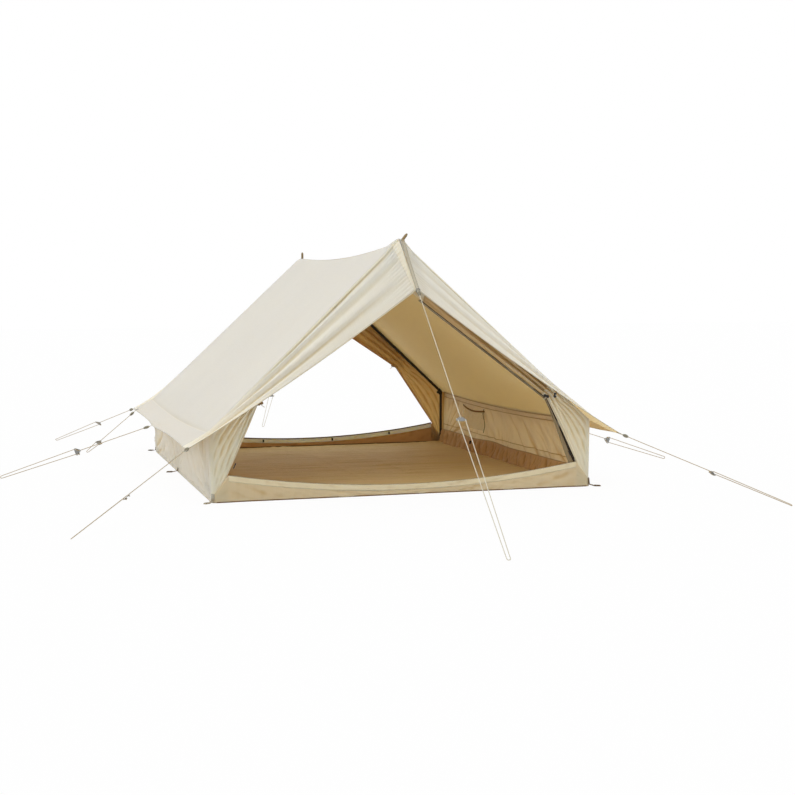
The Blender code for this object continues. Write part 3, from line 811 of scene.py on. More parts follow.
# Over the front joint the cloth is pushed up a little more than over the rear one
dome_lift = 0.018
dome_width = 0.034
dome_length = 0.05


def woven(
    name, colour, roughness=0.88, mottle=0.035, stitched=0.0, glow=0.95,
    streaks=(1, 1, 1), inner=False, others=None,
):
    """Plain-woven cloth: matt, with fine crossing threads, thicker ones here and there and soft uneven
    colour. A strip of it can be stitched down, with a row of stitches near each edge of its width in
    metres. Daylight glows through by the share glow. A ridge outside is a hollow on the inner face."""
    values = {
        "Subsurface Weight": glow,
        "Subsurface Radius": (1.0, 0.9, 0.72),
        "Subsurface Scale": light_depth,
        "Sheen Weight": 0.12,
        "Sheen Roughness": 0.6,
        "Specular IOR Level": 0.25,
        **(others or {}),
    }
    made, tree, sockets = start_material(name, colour, roughness, values)
    tint = mottled(tree, sockets, colour, patch_size, mottle, streaks)
    multiplied = {"data_type": "RGBA", "blend_type": "MULTIPLY"}
    cut = add_node(tree, "UVMap", uv_map="cut")
    threads = {}
    for number, direction in enumerate("XY"):
        lines = {"Vector": cut, "Scale": wave_period / thread_spacing}
        threads[number] = add_node(tree, "TexWave", lines, bands_direction=direction).outputs["Fac"]
    weave = add_node(tree, "Math", threads, operation="MAXIMUM")
    add_node(tree, "Bump", {"Height": weave, "Distance": 0.0002, "Strength": 0.5}, sockets["Normal"])
    slubs = patches(tree, slub_length, 2.0, (1, 0.03, 1), cut)
    faint = add_node(tree, "MapRange", {"Value": slubs, "To Min": 0.96, "To Max": 1.04})
    shown = add_node(tree, "Mix", {"Factor": 1.0, "A": tint, "B": faint}, **multiplied)
    bent = add_node(tree, "Attribute", attribute_name="hollow").outputs["Fac"]
    deepest = -hollow_full if inner else hollow_full
    bends = {"Value": bent, "From Min": -0.1 * deepest, "From Max": deepest}
    sunk = add_node(tree, "MapRange", bends, interpolation_type="SMOOTHSTEP")
    shown = add_node(tree, "Mix", {"Factor": sunk, "A": shown, "B": hollow_tint}, **multiplied)
    if stitched:
        strip = add_node(tree, "SeparateXYZ", {0: cut}).outputs
        centred = add_node(tree, "Math", {0: strip["X"], 1: stitched / 2}, operation="SUBTRACT")
        apart = add_node(tree, "Math", {0: centred}, operation="ABSOLUTE")
        row = {0: apart, 1: stitched / 2 - stitch_inset, 2: stitch_width / 2}
        on_row = add_node(tree, "Math", row, operation="COMPARE")
        counted = add_node(tree, "Math", {0: strip["Y"], 1: stitch_pitch}, operation="DIVIDE")
        within = add_node(tree, "Math", {0: counted}, operation="FRACT")
        sewn = add_node(tree, "Math", {0: within, 1: stitch_share}, operation="LESS_THAN")
        stitch = add_node(tree, "Math", {0: on_row, 1: sewn}, operation="MULTIPLY")
        threaded = {"Factor": stitch, "A": shown, "B": linear(colour, 0.55)}
        shown = add_node(tree, "Mix", threaded, data_type="RGBA")
    tree.links.new(first_output(shown), sockets["Base Color"])
    return made


def flat_size(place, steps=24):
    """Width, length and area in metres of the flat cut that makes the surface place(across, along)."""
    shares = [step / steps for step in range(steps + 1)]
    grid = [[place(across, along) for across in shares] for along in shares]
    width = max(reached(row)[-1] for row in grid)
    length = max(reached(column)[-1] for column in zip(*grid))
    area = 0
    for row, above in zip(grid, grid[1:]):
        for i in range(steps):
            area += (above[i + 1] - row[i]).cross(above[i] - row[i + 1]).length / 2
    return width, length, area


def declare(piece, place, held, rests_on, with_pieces, steps=24):
    """Declares a sheet, with the flat cut of the surface that it is laid on."""
    width, length, area = flat_size(place, steps)
    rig.sheet(piece, flat=(width, length), area=area, held=held, rests_on=rests_on, with_pieces=with_pieces)


def raised(place, height, facing):
    """The same surface with each point moved out, to the side that it faces, by height(across, along)."""
    step = 0.004

    def moved(across, along):
        over = place(min(across + step, 1), along) - place(max(across - step, 0), along)
        onward = place(across, min(along + step, 1)) - place(across, max(along - step, 0))
        normal = over.cross(onward).normalized()
        if normal.dot(facing) < 0:
            normal = -normal
        return place(across, along) + normal * height(across, along)

    return moved


def part_of(place, across, along):
    """The part of a surface between two shares of its width and two of its length."""
    (left, right), (low, high) = across, along
    return lambda over, up: place(left + over * (right - left), low + up * (high - low))


def crowded(place):
    """The same surface with its columns closer together near the ridge, where it bends over the joint."""
    return lambda across, along: place(across * (0.30 + 0.70 * across), along)


def bump(value, middle, width):
    return math.exp(-(((value - middle) / width) ** 2))


def creases(x, y, slope, spacing, stretch, seed):
    """Soft creases from -1 to 1 that run at a slope in degrees, about the spacing apart and longer than
    that by the stretch."""
    turn = math.radians(slope)
    along_crease = x * math.cos(turn) + y * math.sin(turn)
    over_crease = y * math.cos(turn) - x * math.sin(turn)
    return noise.noise(Vector((along_crease / (spacing * stretch), over_crease / spacing, seed)))


def sharp(value):
    """Turns soft creases into narrow ridges with flat cloth between them."""
    return max(0.0, 1 - 4.5 * abs(value))


def fan(x, y, centre_x, centre_y, count, reach, seed):
    """Folds that spread from a pulled point, count of them in a full turn, dying away over the reach."""
    distance = math.hypot(x - centre_x, y - centre_y)
    angle = math.atan2(y - centre_y, x - centre_x)
    wander = 0.8 * noise.noise(Vector((distance / reach, angle, seed)))
    grown = min(1.0, distance / (0.15 * reach))
    return math.sin(count * angle + seed + wander) * grown * math.exp(-((distance / reach) ** 2))


def cloth(
    name, place, columns, rows, finish, lining, facing,
    thickness=cloth_thickness, slot="canvas", replaced=(), leaning=True,
):
    """A sheet of cloth over place(across, along), both from 0 to 1, with a lining on its inner face.
    Its UV map is in metres, and it leans to the side with the frame unless told not to."""
    shape = bmesh.new()
    cut = shape.loops.layers.uv.new("cut")
    hollow = shape.verts.layers.float.new("hollow")
    spots = [[place(i / columns, j / rows) for i in range(columns + 1)] for j in range(rows + 1)]
    over = reached(spots[rows // 2])
    down = reached([row[columns // 2] for row in spots])
    if leaning:
        spots = [[swayed(spot) for spot in row] for row in spots]
    grid = [[shape.verts.new(spot) for spot in row] for row in spots]
    for j in range(rows):
        for i in range(columns):
            around = ((i, j), (i + 1, j), (i + 1, j + 1), (i, j + 1))
            face = shape.faces.new([grid[b][a] for a, b in around])
            for loop, (a, b) in zip(face.loops, around):
                loop[cut].uv = (over[a], down[b])
    shape.normal_update()
    mean_normal = sum((face.normal * face.calc_area() for face in shape.faces), Vector())
    outward = 1 if mean_normal.dot(facing) > 0 else -1
    i_step = max(1, round(hollow_reach * columns / over[-1]))
    j_step = max(1, round(hollow_reach * rows / down[-1]))
    for j in range(rows + 1):
        for i in range(columns + 1):
            here = grid[j][i]
            dip = spots[j][max(i - i_step, 0)] + spots[j][min(i + i_step, columns)] - 2 * here.co
            dip += spots[max(j - j_step, 0)][i] + spots[min(j + j_step, rows)][i] - 2 * here.co
            here[hollow] = outward * dip.dot(here.normal) / (2 * hollow_reach)
    made = add_shape(name, shape, finish, lining)
    if outward < 0:
        made.data.flip_normals()
    body = made.modifiers.new("Thickness", "SOLIDIFY")
    body.thickness = thickness
    body.offset = 0
    body.use_even_offset = True
    body.material_offset = 1
    fix(made, slot, replaced)
    return made


def dome(across, along):
    """How far the cloth is pushed up at a share across and a number of the dome's lengths along."""
    return Vector((0, 0, dome_lift * bump(across, 0, dome_width) * bump(along, 0, 1)))


def even_roof(side, across, along):
    return roof_point(side, across, 2 * along - 1) + dome(across, along / dome_length)


def roof_height(side, across, along):
    """Height of the roof's soft folds above its even surface."""
    x = across * roof_width
    y = along * floor_depth
    free = min(1.0, 14 * along, 14 * (1 - along))
    soft = 0.0028 * creases(x, y, 80, 0.30, 3, side + 5) * free
    drawn = 0.0016 * fan(x, y, roof_width, floor_depth / 2, 22, 0.32, 1.0)
    drawn += 0.0016 * fan(x, y, roof_width, floor_depth * (1 + rear_tongue_share) / 2, 22, 0.26, 2.0)
    beyond = max(0.0, across - seam_share) / (1 - seam_share)
    flutter = 0.006 * beyond * noise.noise(Vector((y * 4.5, side, 3)))
    return soft + drawn + flutter


roof_canvas = woven("plain-woven canvas, roof", "#D7D1C2")
roof_lining = woven("plain-woven canvas, inner face", "#E9CCA4", inner=True)
roof_seam = woven("felled canvas seam", "#D5CFC1", stitched=seam_width)
flap_canvas = woven("plain-woven canvas, flaps", "#CDC8BD")
flap_lining = woven("plain-woven canvas, underside of the flaps", "#B99E6C", inner=True)
roof_width = flat_size(lambda across, along: roof_point(1, across, 2 * along - 1))[0]
half_seam = seam_width / roof_width / 2

for word, side in sides.items():
    facing = Vector((side, 0, 1))
    even = partial(even_roof, side)
    folded = raised(even, partial(roof_height, side), facing)
    solids = ["roof_" + word]
    name = "roof_canvas_" + word
    panel = cloth(name, crowded(folded), 84, 120, roof_canvas, roof_lining, facing, replaced=solids)
    panel.data.materials.append(flap_canvas)
    panel.data.materials.append(flap_lining)
    flap_start = abs(roof_point(side, seam_share, 1).x) + 0.01
    for face in panel.data.polygons:
        if abs(face.center.x) > flap_start:
            face.material_index = 2
    eave = part_of(folded, (seam_share - half_seam, seam_share + half_seam), (0, 1))
    eave_seam = cloth("eave_seam_" + word, eave, 3, 120, roof_seam, roof_lining, facing, seam_thickness * 0.3)
    hem = part_of(folded, (1 - 2 * half_seam, 1), (0.004, 0.996))
    flap_hem = cloth("flap_hem_" + word, hem, 3, 120, roof_seam, flap_lining, facing, seam_thickness)
    rafters = ["rafter_front_" + word, "rafter_rear_" + word]
    declare(panel, even, "stretched", rafters, [eave_seam, flap_hem])

# Ridge binding
# A doubled strip of the same canvas sewn along the ridge, over the seam of the two panels.
binding_width = 0.022


def ridge_strip(across, along):
    half = (across - 0.5) * binding_width
    place = roof_point(1, 0, 2 * along - 1)
    sunk = section_height(0) - section_height(abs(half))
    lifted = dome(abs(half) / roof_width, along / dome_length)
    return lifted + Vector((half, place.y, place.z + seam_gap + canvas / 2 - sunk))


up = Vector((0, 0, 1))
doubled = woven("doubled canvas at the ridge", "#D6CFC0", stitched=binding_width)
cloth("ridge_binding", ridge_strip, 8, 120, doubled, roof_lining, up, seam_thickness / 2)

# Hoods
# Each gable has two triangles of canvas that carry the roof on beyond the frame, drawn out by ropes at
# their three corners. The pull lays long soft folds in them, from the ridge down to the eave corner.
hood_folds = {"front_left": 0.015, "front_right": 0.007, "rear_left": 0.008, "rear_right": 0.008}
hood_dome_length = 0.35
peak_panel_thickness = 0.0030
hood_canvas = woven("plain-woven canvas, hoods", "#E9E0CB")
hood_seam = woven("hemmed canvas, hoods", "#CFC5AD", stitched=seam_width)


def even_hood(side, end, across, out):
    pushed = 1 if end < 0 else 0
    return hood_point(side, end, across, out) + pushed * dome(across, out / hood_dome_length)


def hood_height(side, end, depth, across, out):
    """Height of a hood's folds: a groove under the crease, a ridge beside it and two broad waves below."""
    swell = math.sin(math.pi * min(1.0, across / 0.99)) ** 0.7 if across < 0.99 else 0.0
    ridge = bump(out, 0.57, 0.16) if out < 0.57 else bump(out, 0.57, 0.05)
    waves = 0.8 * bump(out, 0.19, 0.05) - 1.1 * bump(out, 0.06, 0.035) - 0.5 * bump(out, 0.33, 0.08)
    waves += 1.2 * ridge - 0.3 * bump(out, 0.70, 0.07)
    small = 0.0030 * creases(across * 1.7, out * 0.34, 4, 0.045, 12, side + 2 * end) * min(1.0, 12 * out)
    tucks = 0.0026 * math.sin(95 * out - 30 * across) * bump(across, 0.035, 0.030) * min(1, 60 * across)
    return depth * swell * waves + small + tucks


for place, side, end in corners:
    facing = Vector((side, end, 0.5))
    even = partial(even_hood, side, end)
    folded = crowded(raised(even, partial(hood_height, side, end, hood_folds[place]), facing))
    solids = ["hood_" + place]
    hood = cloth("hood_canvas_" + place, folded, 120, 48, hood_canvas, roof_lining, facing, replaced=solids)
    top = part_of(folded, (0, 1), (0, 0.035))
    welt = cloth("crease_welt_" + place, top, 110, 2, hood_canvas, roof_lining, facing, seam_thickness)
    edge = part_of(folded, (0, 1), (0.970, 1))
    hem = cloth("hood_hem_" + place, edge, 110, 3, hood_seam, roof_lining, facing, seam_thickness)
    pieces = [welt, hem]
    if place == "front_left":
        # A second layer is sewn on beside the strap, from the peak to the tip
        layer = lambda across, out, folded=folded: folded(across * (0.085 - 0.055 * out), out)
        sewn_on = cloth("peak_panel", layer, 12, 60, hood_canvas, roof_lining, facing, peak_panel_thickness)
        pieces.append(sewn_on)
    declare(hood, even, "stretched", ["rafter_" + place], pieces)

# Webbing
# Grey polyester webbing 20 mm wide: a strap down the middle of each hood, and tongues sewn to the
# corners and the eaves that the ropes are tied to.
webbing_width = 0.020
webbing_spacing = 0.008
tongue_root = 0.030
strap_shift = 0.018
webbing_cloth = woven("herringbone webbing", "#B3AD9D", 0.7, 0.06, stitched=webbing_width)


def band(name, path, across, width, thickness, finish, replaced=()):
    """A strip of webbing along a path, as wide as given along the direction across."""
    spots = spaced(path, webbing_spacing)

    def place(share, along):
        spot = along * (len(spots) - 1)
        low = min(int(spot), len(spots) - 2)
        return spots[low].lerp(spots[low + 1], spot - low) + across * (share - 0.5) * width

    above = across.cross(path[-1] - path[0])
    return cloth(name, place, 4, len(spots) - 1, finish, finish, above, thickness, "webbing", replaced, False)


def strap_path(end):
    """The strap's line down a hood: in front it lies to the right of the seam as far as the tip."""
    start, stop = strap_line(end)
    if end > 0:
        return [start, stop]
    path = []
    for share in (step / 8 for step in range(9)):
        aside = strap_shift * (1 - share) ** 1.3
        sunk = (section_height(0) - section_height(aside)) * (1 - share)
        lifted = dome(0.5 * aside, share / hood_dome_length)
        path.append(start + (stop - start) * share + Vector((aside, -0.005, -sunk)) + lifted)
    return [path[0] + Vector((-0.004, 0.030, 0.002))] + path


for word, end in ends.items():
    path = [swayed(spot) for spot in strap_path(end)]
    sideways = Vector((1, 0, 0))
    solids = ["hood_strap_" + word]
    band("hood_webbing_" + word, path, sideways, webbing_width, strap_thickness, webbing_cloth, solids)

for guy in guys:
    run = guy_direction(guy)
    across = run.cross(up).normalized()
    root = strap_end / 2 if guy in ends else tongue_root
    path = [guy_exit(guy) - run * root, guy_exit(guy) + run * tongue_length]
    band("tongue_" + guy, path, across, webbing_width * 0.8, strap_thickness, webbing_cloth)

# Side walls
# Low canvas walls hang from the eave seam to the ground, where loops of webbing peg them down. Each
# peg pulls a fan of folds into the cloth, and the wall turns the corners in a soft curve.
wall_hem = 0.026
wall_pegs = (0.0, 0.52, 1.0)
corner_radius = 0.028
warm_sheen = {"Sheen Weight": 0.45, "Sheen Tint": (1.0, 0.86, 0.68, 1.0)}
wall_canvas = woven("plain-woven canvas, walls", "#FFEDD2", others=warm_sheen)
wall_lining = woven("plain-woven canvas, inside of the walls", "#F2D3B3", inner=True)
wall_seam = woven("hemmed canvas, walls", "#EADDC6", stitched=seam_width)


def wall_x(z):
    """Distance of a wall from the middle of the tent at a height: it leans out a little to the eave."""
    share = (z - seam_gap) / (eave_height - canvas - 2 * seam_gap)
    return floor_width / 2 + share * (eave_spread - canvas / 2)


def wall_point(side, rise, along):
    share = 2 * along - 1
    head = roof_point(side, seam_share, share).z
    z = seam_gap + rise * (head - seam_gap)
    return Vector((side * wall_x(z), share * (end_y(z) - corner_radius + 0.002), z))


def wall_height(side, rise, along):
    """Height of a wall's folds: fans at the pegs, hanging waves and slanting creases between them, which
    lean one way in front and the other way at the rear."""
    x = rise * eave_height
    y = along * floor_depth
    held = min(1.0, 6 * rise) * min(1.0, 6 * (1 - rise)) * min(1.0, 45 * along, 45 * (1 - along))
    drawn = sum(fan(x, y, -0.03, peg * floor_depth, 29, 0.26, 4 * peg + side) for peg in wall_pegs[1:-1])
    pulled = sum(fan(x, y, -0.02, peg * floor_depth, 31, 0.55, 4 * peg + side) for peg in (0, 1))
    turned = max(0.0, min(1.0, (along - 0.62) / 0.16))
    slanted = ridged = 0.0
    for lean, share in ((52, 1 - turned), (-52, turned)):
        if share > 0:
            slanted += share * creases(x, y, lean, 0.080, 9, side + 17)
            ridged += share * sharp(creases(x, y, lean, 0.11, 9, side + 23))
    hung = creases(x, y, 14, 0.080, 6, side + 11)
    folds = 0.0035 * drawn + 0.0125 * pulled + 0.0260 * slanted + 0.0090 * hung + 0.0040 * ridged
    return held * folds


walls = {}
for word, side in sides.items():
    facing = Vector((side, 0, 0))
    even = partial(wall_point, side)
    folded = raised(even, partial(wall_height, side), facing)
    walls[word] = folded
    solids = ["wall_" + word]
    wall = cloth("wall_canvas_" + word, folded, 40, 220, wall_canvas, wall_lining, facing, replaced=solids)
    foot = part_of(folded, (0, wall_hem / eave_height), (0.002, 0.998))
    hem = cloth("wall_hem_" + word, foot, 3, 170, wall_seam, wall_lining, facing, seam_thickness * 0.7)
    declare(wall, even, "hung", ["roof_canvas_" + word], [hem])

# Doors
# Two outer flaps close each gable. They are rolled back to the frame and tied at the eave, so each is a
# narrow pleated band under the hood that fans out below its tie.
# For the front and the rear: the free edge's height in the middle, and the tie's place and width
door_tops = {-1: 1.17, 1: 1.06}
gathers = {-1: (floor_width / 2 - 0.260, 0.520, 0.078), 1: (floor_width / 2 - 0.375, 0.580, 0.110)}
# Shares of a door's height where the gather, the eave corner and the threshold's end lie
door_stations = (0.0, 0.55, 0.70, 0.85, 1.0)
roll_starts = {-1: 0.30, 1: 0.93}
threshold_height = 0.060
threshold_rise = 0.088
threshold_end = floor_width / 2 - 0.085
pleat_count = 4
fold_count = 30
fold_depth = 0.0065
pleat_depth = 0.024
door_canvas = woven("plain-woven canvas, doors", "#F3E2C0")
door_lining = woven("plain-woven canvas, inside of the doors", "#D6B68A", inner=True)
door_edge = woven("hemmed canvas, doors", "#DACBAC", stitched=0.03)
rolled_canvas = woven("plain-woven canvas, inner face of the doors rolled out", "#CDB383")


def along_stations(values, share):
    """The point at a share of the way along a broken line with its corners at the stations."""
    for index, (low, high) in enumerate(zip(door_stations, door_stations[1:])):
        if share <= high:
            return values[index].lerp(values[index + 1], (share - low) / (high - low))
    return values[-1]


def under_roof(x):
    """Height just beneath the roof's end edge at a distance from the middle."""
    return section_height(x) - (canvas / 2 + seam_gap) / math.cos(roof_slope)


def door_outline(end):
    """The fixed edge along frame and wall, and the free edge, as (x, 0, height) corners at the stations."""
    gather_x, gather_height, gather_width = gathers[end]
    anchor = gather_x + gather_width * math.sin(roof_slope)
    threshold_top = threshold_height + threshold_rise
    head = under_roof(floor_width / 2 + eave_spread) - canvas
    free_x = threshold_end + seam_gap
    share = (door_stations[2] - door_stations[1]) / (door_stations[3] - door_stations[1])
    fixed = (
        (crown_x, under_roof(crown_x)),
        (anchor, under_roof(anchor)),
        (wall_x(head), head),
        (wall_x(threshold_top), threshold_top),
        (wall_x(seam_gap), seam_gap),
    )
    free = (
        (ridge_x, door_tops[end]),
        (gather_x, gather_height),
        (gather_x + share * (free_x - gather_x), gather_height + share * (threshold_top - gather_height)),
        (free_x, threshold_top),
        (free_x, seam_gap),
    )
    return [[Vector((x, 0, z)) for x, z in line] for line in (fixed, free)]


door_edges = {end: door_outline(end) for end in ends.values()}


def corner_turn(x, z):
    """How far the cloth lies behind a gable's plane where it turns the corner into the wall."""
    left = min(corner_radius, max(0.0, wall_x(z) - x))
    turn = corner_radius - math.sqrt(max(0.0, corner_radius**2 - (corner_radius - left) ** 2))
    return turn if z < eave_height else 0.0


def door_point(side, end, across, down):
    """A door's folded surface: deep pleats at the tie, broken up by smaller ones that fan out below."""
    outer, inner = [along_stations(line, down) for line in door_edges[end]]
    point = outer.lerp(inner, across)
    seed = 3 * side + 7 * end
    tie = door_stations[1]
    least, spread = (0.25, 0.25) if down < tie else (0.30, 0.16)
    depth = pleat_depth * (least + (1 - least) * bump(down, tie, spread))
    settled = min(1, 4 * across) * min(1, 8 * (1 - across)) * min(1, 14 * (1 - down))
    wander = noise.noise(Vector((1.6 * across, 3.0 * down, seed)))
    pleats = depth * (0.5 - 0.5 * math.cos(2 * math.pi * pleat_count * (across + 0.12 * wander))) ** 1.3
    pleats += 0.30 * depth * noise.noise(Vector((15 * across, 2.5 * down, seed + 1)))

    # Below the tie the folds run in bows from the tie to the foot of the corner, where the door is pegged
    to_tie = Vector((gathers[end][0] + 0.025, 0, gathers[end][1] + 0.01)) - point
    to_peg = Vector((floor_width / 2 - 0.004, 0, 0.020)) - point
    bow = math.atan2(to_tie.x * to_peg.z - to_tie.z * to_peg.x, to_tie.x * to_peg.x + to_tie.z * to_peg.z)
    near = min(1, to_tie.length / 0.12, to_peg.length / 0.10)
    folds = fold_depth * near * (0.5 - 0.5 * math.cos(fold_count * bow + 1.6 * wander)) ** 1.5
    folds *= 1.0 + 0.5 * noise.noise(Vector((3 * point.x, 3 * point.z, seed + 3)))
    below = min(1, max(0, (down - tie + 0.02) / 0.10))
    raise_up = pleats * (1 - below) + folds * below
    slack = 0.006 * creases(across * 0.3, down * 1.3, 70, 0.055, 6, seed + 2)
    y = end_y(point.z) - corner_turn(point.x, point.z) - canvas - seam_gap + 0.001
    settled *= min(1.0, 0.25 + max(0.0, point.z - 0.10) / 0.20)
    return Vector((side * point.x, end * (y + (raise_up + slack) * settled), point.z))


for place, side, end in corners:
    facing = Vector((0, end, 0))
    folded = partial(door_point, side, end)
    solids = ["door_" + place]
    flap = cloth("door_canvas_" + place, folded, 90, 150, door_canvas, door_lining, facing, replaced=solids)
    free = part_of(folded, (0.93, 1), (0.53, 1))
    edge = cloth("door_hem_" + place, free, 4, 70, door_edge, door_lining, facing, seam_thickness)
    roll = part_of(folded, (roll_starts[end], 1), (0.08, 0.53))
    turned = cloth("door_roll_" + place, roll, 24, 90, rolled_canvas, door_lining, facing, seam_thickness)
    declare(flap, folded, "gathered", ["rafter_" + place], [edge, turned], 60)

# Screens
# Inside the front doors hang screens of grey mosquito net, zipped to the doors and rolled back with
# them: a narrow strip of net shows, edged with dark tape and the teeth of its zip.
screen_width = 0.040
screen_gap = 4 * canvas
net_thickness = 0.0008
tape_thickness = 0.0014
zip_inset = 0.18
teeth_radius = 0.0011
dull = {"Sheen Weight": 0.0, "Specular IOR Level": 0.08}
net = woven("grey mosquito net", "#9E9785", 0.6, 0.12, others=dull)
zip_tape = woven("brown zip tape", "#33291D", 0.7, 0.08, others=dull)
zip_teeth = braided("nylon zip coil", "#2A241B")


def screen_point(side, across, down):
    """A screen's edge: across runs inwards from its zip, down from the peak to the threshold."""
    outer = along_stations(door_edges[-1][1], 0.07 + 0.78 * down)
    width = screen_width * (0.40 + 0.75 * max(0, down - 0.66) / 0.34)
    inward = width * across - screen_gap / 4 if side > 0 else -screen_gap / 2 - width * across
    depth = 2 * canvas if side > 0 else 7 * canvas
    height = outer.z - 0.4 * inward
    return Vector((side * max(outer.x - inward, canvas), depth - end_y(height), height))


def screen_roll(side, across, down):
    puffed = 0.010 * math.sin(math.pi * min(1, 1.4 * max(0, across - 0.3))) * min(1, 3 * down)
    return -puffed + 0.0015 * creases(across * 0.04, down, 80, 0.02, 4, side)


for word, side in sides.items():
    place = "front_" + word
    facing = Vector((0, -1, 0))
    even = partial(screen_point, side)
    puffed = raised(even, partial(screen_roll, side), facing)
    solids = ["screen_" + place]
    rolled = cloth("screen_net_" + place, puffed, 14, 130, net, net, facing, net_thickness, "mesh", solids)
    edge = part_of(even, (0.0, 0.38), (0, 1))
    tape = cloth("zip_tape_" + place, edge, 3, 130, zip_tape, zip_tape, facing, tape_thickness, "webbing")
    line = [swayed(even(zip_inset, step / 90)) for step in range(91)]
    teeth = tube("zip_teeth_" + place, line, teeth_radius, zip_teeth, "fastener", 6)
    declare(rolled, even, "folded", ["door_canvas_" + place], [tape, teeth], 60)

# Thresholds
# The floor's front and rear edges stand up across the doorways as a low sill of canvas over the brown
# groundsheet, higher at its ends, with a paler hem along its top. It runs on low to the corners.
sill_hem_width = 0.034
sill_hem_end = 1.010
sill_end = floor_width / 2 - 0.001
corner_top = 0.034
binding_height = 0.006
piping_radius = {-1: 0.0014, 1: 0.0042}
sill_canvas = woven("plain-woven canvas, sill", "#D5C19E")
sill_hem_canvas = woven("doubled canvas hem, sill", "#DED3B4", stitched=sill_hem_width)
sill_hem_lining = woven("doubled canvas hem, inside of the sill", "#FFF9EA", inner=True)
sill_inside = woven("coated polyester, inside of the sill", "#F0C68C", 0.62, 0.08, glow=0.0, inner=True)
brown_binding = woven("brown polyester binding", "#7A5B34", 0.7)


def sill_top(x):
    """Height of the sill at a distance from the middle: beyond the doors' edges it falls to the corner."""
    hemmed = threshold_height + threshold_rise * (min(abs(x), sill_hem_end) / (threshold_end - seam_gap)) ** 2
    beyond = max(0.0, abs(x) - sill_hem_end) / (sill_end - sill_hem_end)
    return hemmed + beyond * (corner_top - hemmed)


def sill_point(end, across, rise):
    x = (2 * across - 1) * sill_end
    z = seam_gap + rise * (sill_top(x) - seam_gap)
    in_front = 0.007 * min(1.0, max(0.0, abs(x) - sill_hem_end + 0.05) / 0.05)
    return Vector((x, end * (end_y(z) - canvas - seam_gap - corner_turn(abs(x), z) + in_front), z))


def sill_height(end, across, rise):
    """Height of a sill's small wrinkles, slanting from its ends and upright here and there."""
    x = (2 * across - 1) * sill_end
    held = min(1.0, 6 * rise) * min(1.0, 14 * across, 14 * (1 - across))
    slanted = creases(x, rise * 0.1, 12 * math.copysign(1, x), 0.026, 9, end + 30)
    upright = creases(x, rise * 0.1, 72, 0.045, 4, end + 34)
    ridged = sharp(creases(x, rise * 0.1, -18, 0.050, 8, end + 37))
    return held * (0.0042 * slanted + 0.0028 * upright + 0.0016 * ridged)


def hem_spot(sill, across, along):
    """A spot on a sill's hem, from its lower edge to the sill's top."""
    x = (2 * along - 1) * sill_hem_end
    return sill(0.5 + 0.5 * x / sill_end, 1 - sill_hem_width * (1 - across) / sill_top(x))


def foot_spot(sill, across, along):
    """A spot on the binding along a sill's foot."""
    return sill(along, across * binding_height / sill_top((2 * along - 1) * sill_end))


for word, end in ends.items():
    facing = Vector((0, end, 0))
    even = partial(sill_point, end)
    folded = raised(even, partial(sill_height, end), facing)
    solids = ["threshold_" + word]
    sill = cloth("sill_canvas_" + word, folded, 340, 18, sill_canvas, sill_inside, facing, replaced=solids)
    hemmed = partial(hem_spot, folded)
    name = "sill_hem_" + word
    hem = cloth(name, hemmed, 4, 260, sill_hem_canvas, sill_hem_lining, facing, seam_thickness)
    foot = partial(foot_spot, even)
    name = "sill_binding_" + word
    binding = cloth(name, foot, 1, 90, brown_binding, brown_binding, facing, seam_thickness, "groundsheet")
    line = [hemmed(1, step / 120) + Vector((0, -end * 0.002, 0.0005)) for step in range(121)]
    piping = tube("sill_piping_" + word, line, piping_radius[end], brown_binding, "webbing", 8)
    declare(sill, even, "stretched", ["groundsheet_cloth"], [hem, binding, piping])

# Groundsheet
# Tan coated polyester, sewn in all round. It keeps the creases it was packed with and rucks up a
# little towards the sills and the walls.
groundsheet = 0.003
sheet_inset = 2 * canvas + 2 * seam_gap
sheet_width = floor_width - 2 * sheet_inset
sheet_depth = floor_depth - 2 * (sheet_inset + canvas)
packed_fold = 0.36
tan_sheen = {"Sheen Weight": 0.40, "Sheen Tint": (1.0, 0.80, 0.56, 1.0)}
name = "coated polyester groundsheet"
coated = woven(name, "#FFDD92", 0.62, 0.16, glow=0.0, streaks=(0.9, 9, 1), others=tan_sheen)


def sheet_point(across, along):
    x = (across - 0.5) * sheet_width
    y = (along - 0.5) * sheet_depth
    edge = min(across, 1 - across, along, 1 - along)
    fold = 0.0
    for place in (x + 0.07, y + 0.11):
        nearest = abs(place / packed_fold - round(place / packed_fold)) * packed_fold
        fold += 0.0016 * bump(nearest, 0.0, 0.006)
    ruck = bump(along, 0.0, 0.10) + bump(along, 1.0, 0.12) + 0.6 * bump(across, 1.0, 0.06)
    ruck += 0.6 * bump(across, 0.0, 0.06)
    small = creases(x, y, 3, 0.060, 8, 41)
    crossed = creases(x, y, 74, 0.045, 4, 43)
    ridged = sharp(creases(x, y, 6, 0.11, 7, 47))
    rucked = 0.0160 * ruck * max(0.0, 0.7 * crossed + 0.6 * small)
    height = fold + 0.0100 * abs(small) + 0.0030 * ridged + rucked
    return Vector((x, y, 0.0014 + height * min(1.0, 40 * edge)))


solids = ["groundsheet"]
name = "groundsheet_cloth"
sheet = cloth(name, sheet_point, 130, 170, coated, coated, up, slot="groundsheet", replaced=solids)
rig.sheet(sheet, flat=(sheet_width, sheet_depth), held="laid", rests_on=["floor"])

# Side bands of the groundsheet
# Its long sides turn up against the walls and are sewn to them, gathered on the way, so they stand in
# many small upright pleats with a corded seam along the top. They end just short of the legs.
band_height = 0.100
band_lean = 0.004
band_pleat_depth = pleat_depth * 0.6
pleat_pitch = 0.040
band_foot_spread = 0.030
seam_cord_radius = 0.0030
leg_side = -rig.box("leg_front_right")[1].y - 0.004
gathered_sheet = woven("gathered groundsheet", "#E0B679", 0.66, 0.08, glow=0.0)
inside_cord = woven("corded seams inside", "#C79E6B", 0.7)


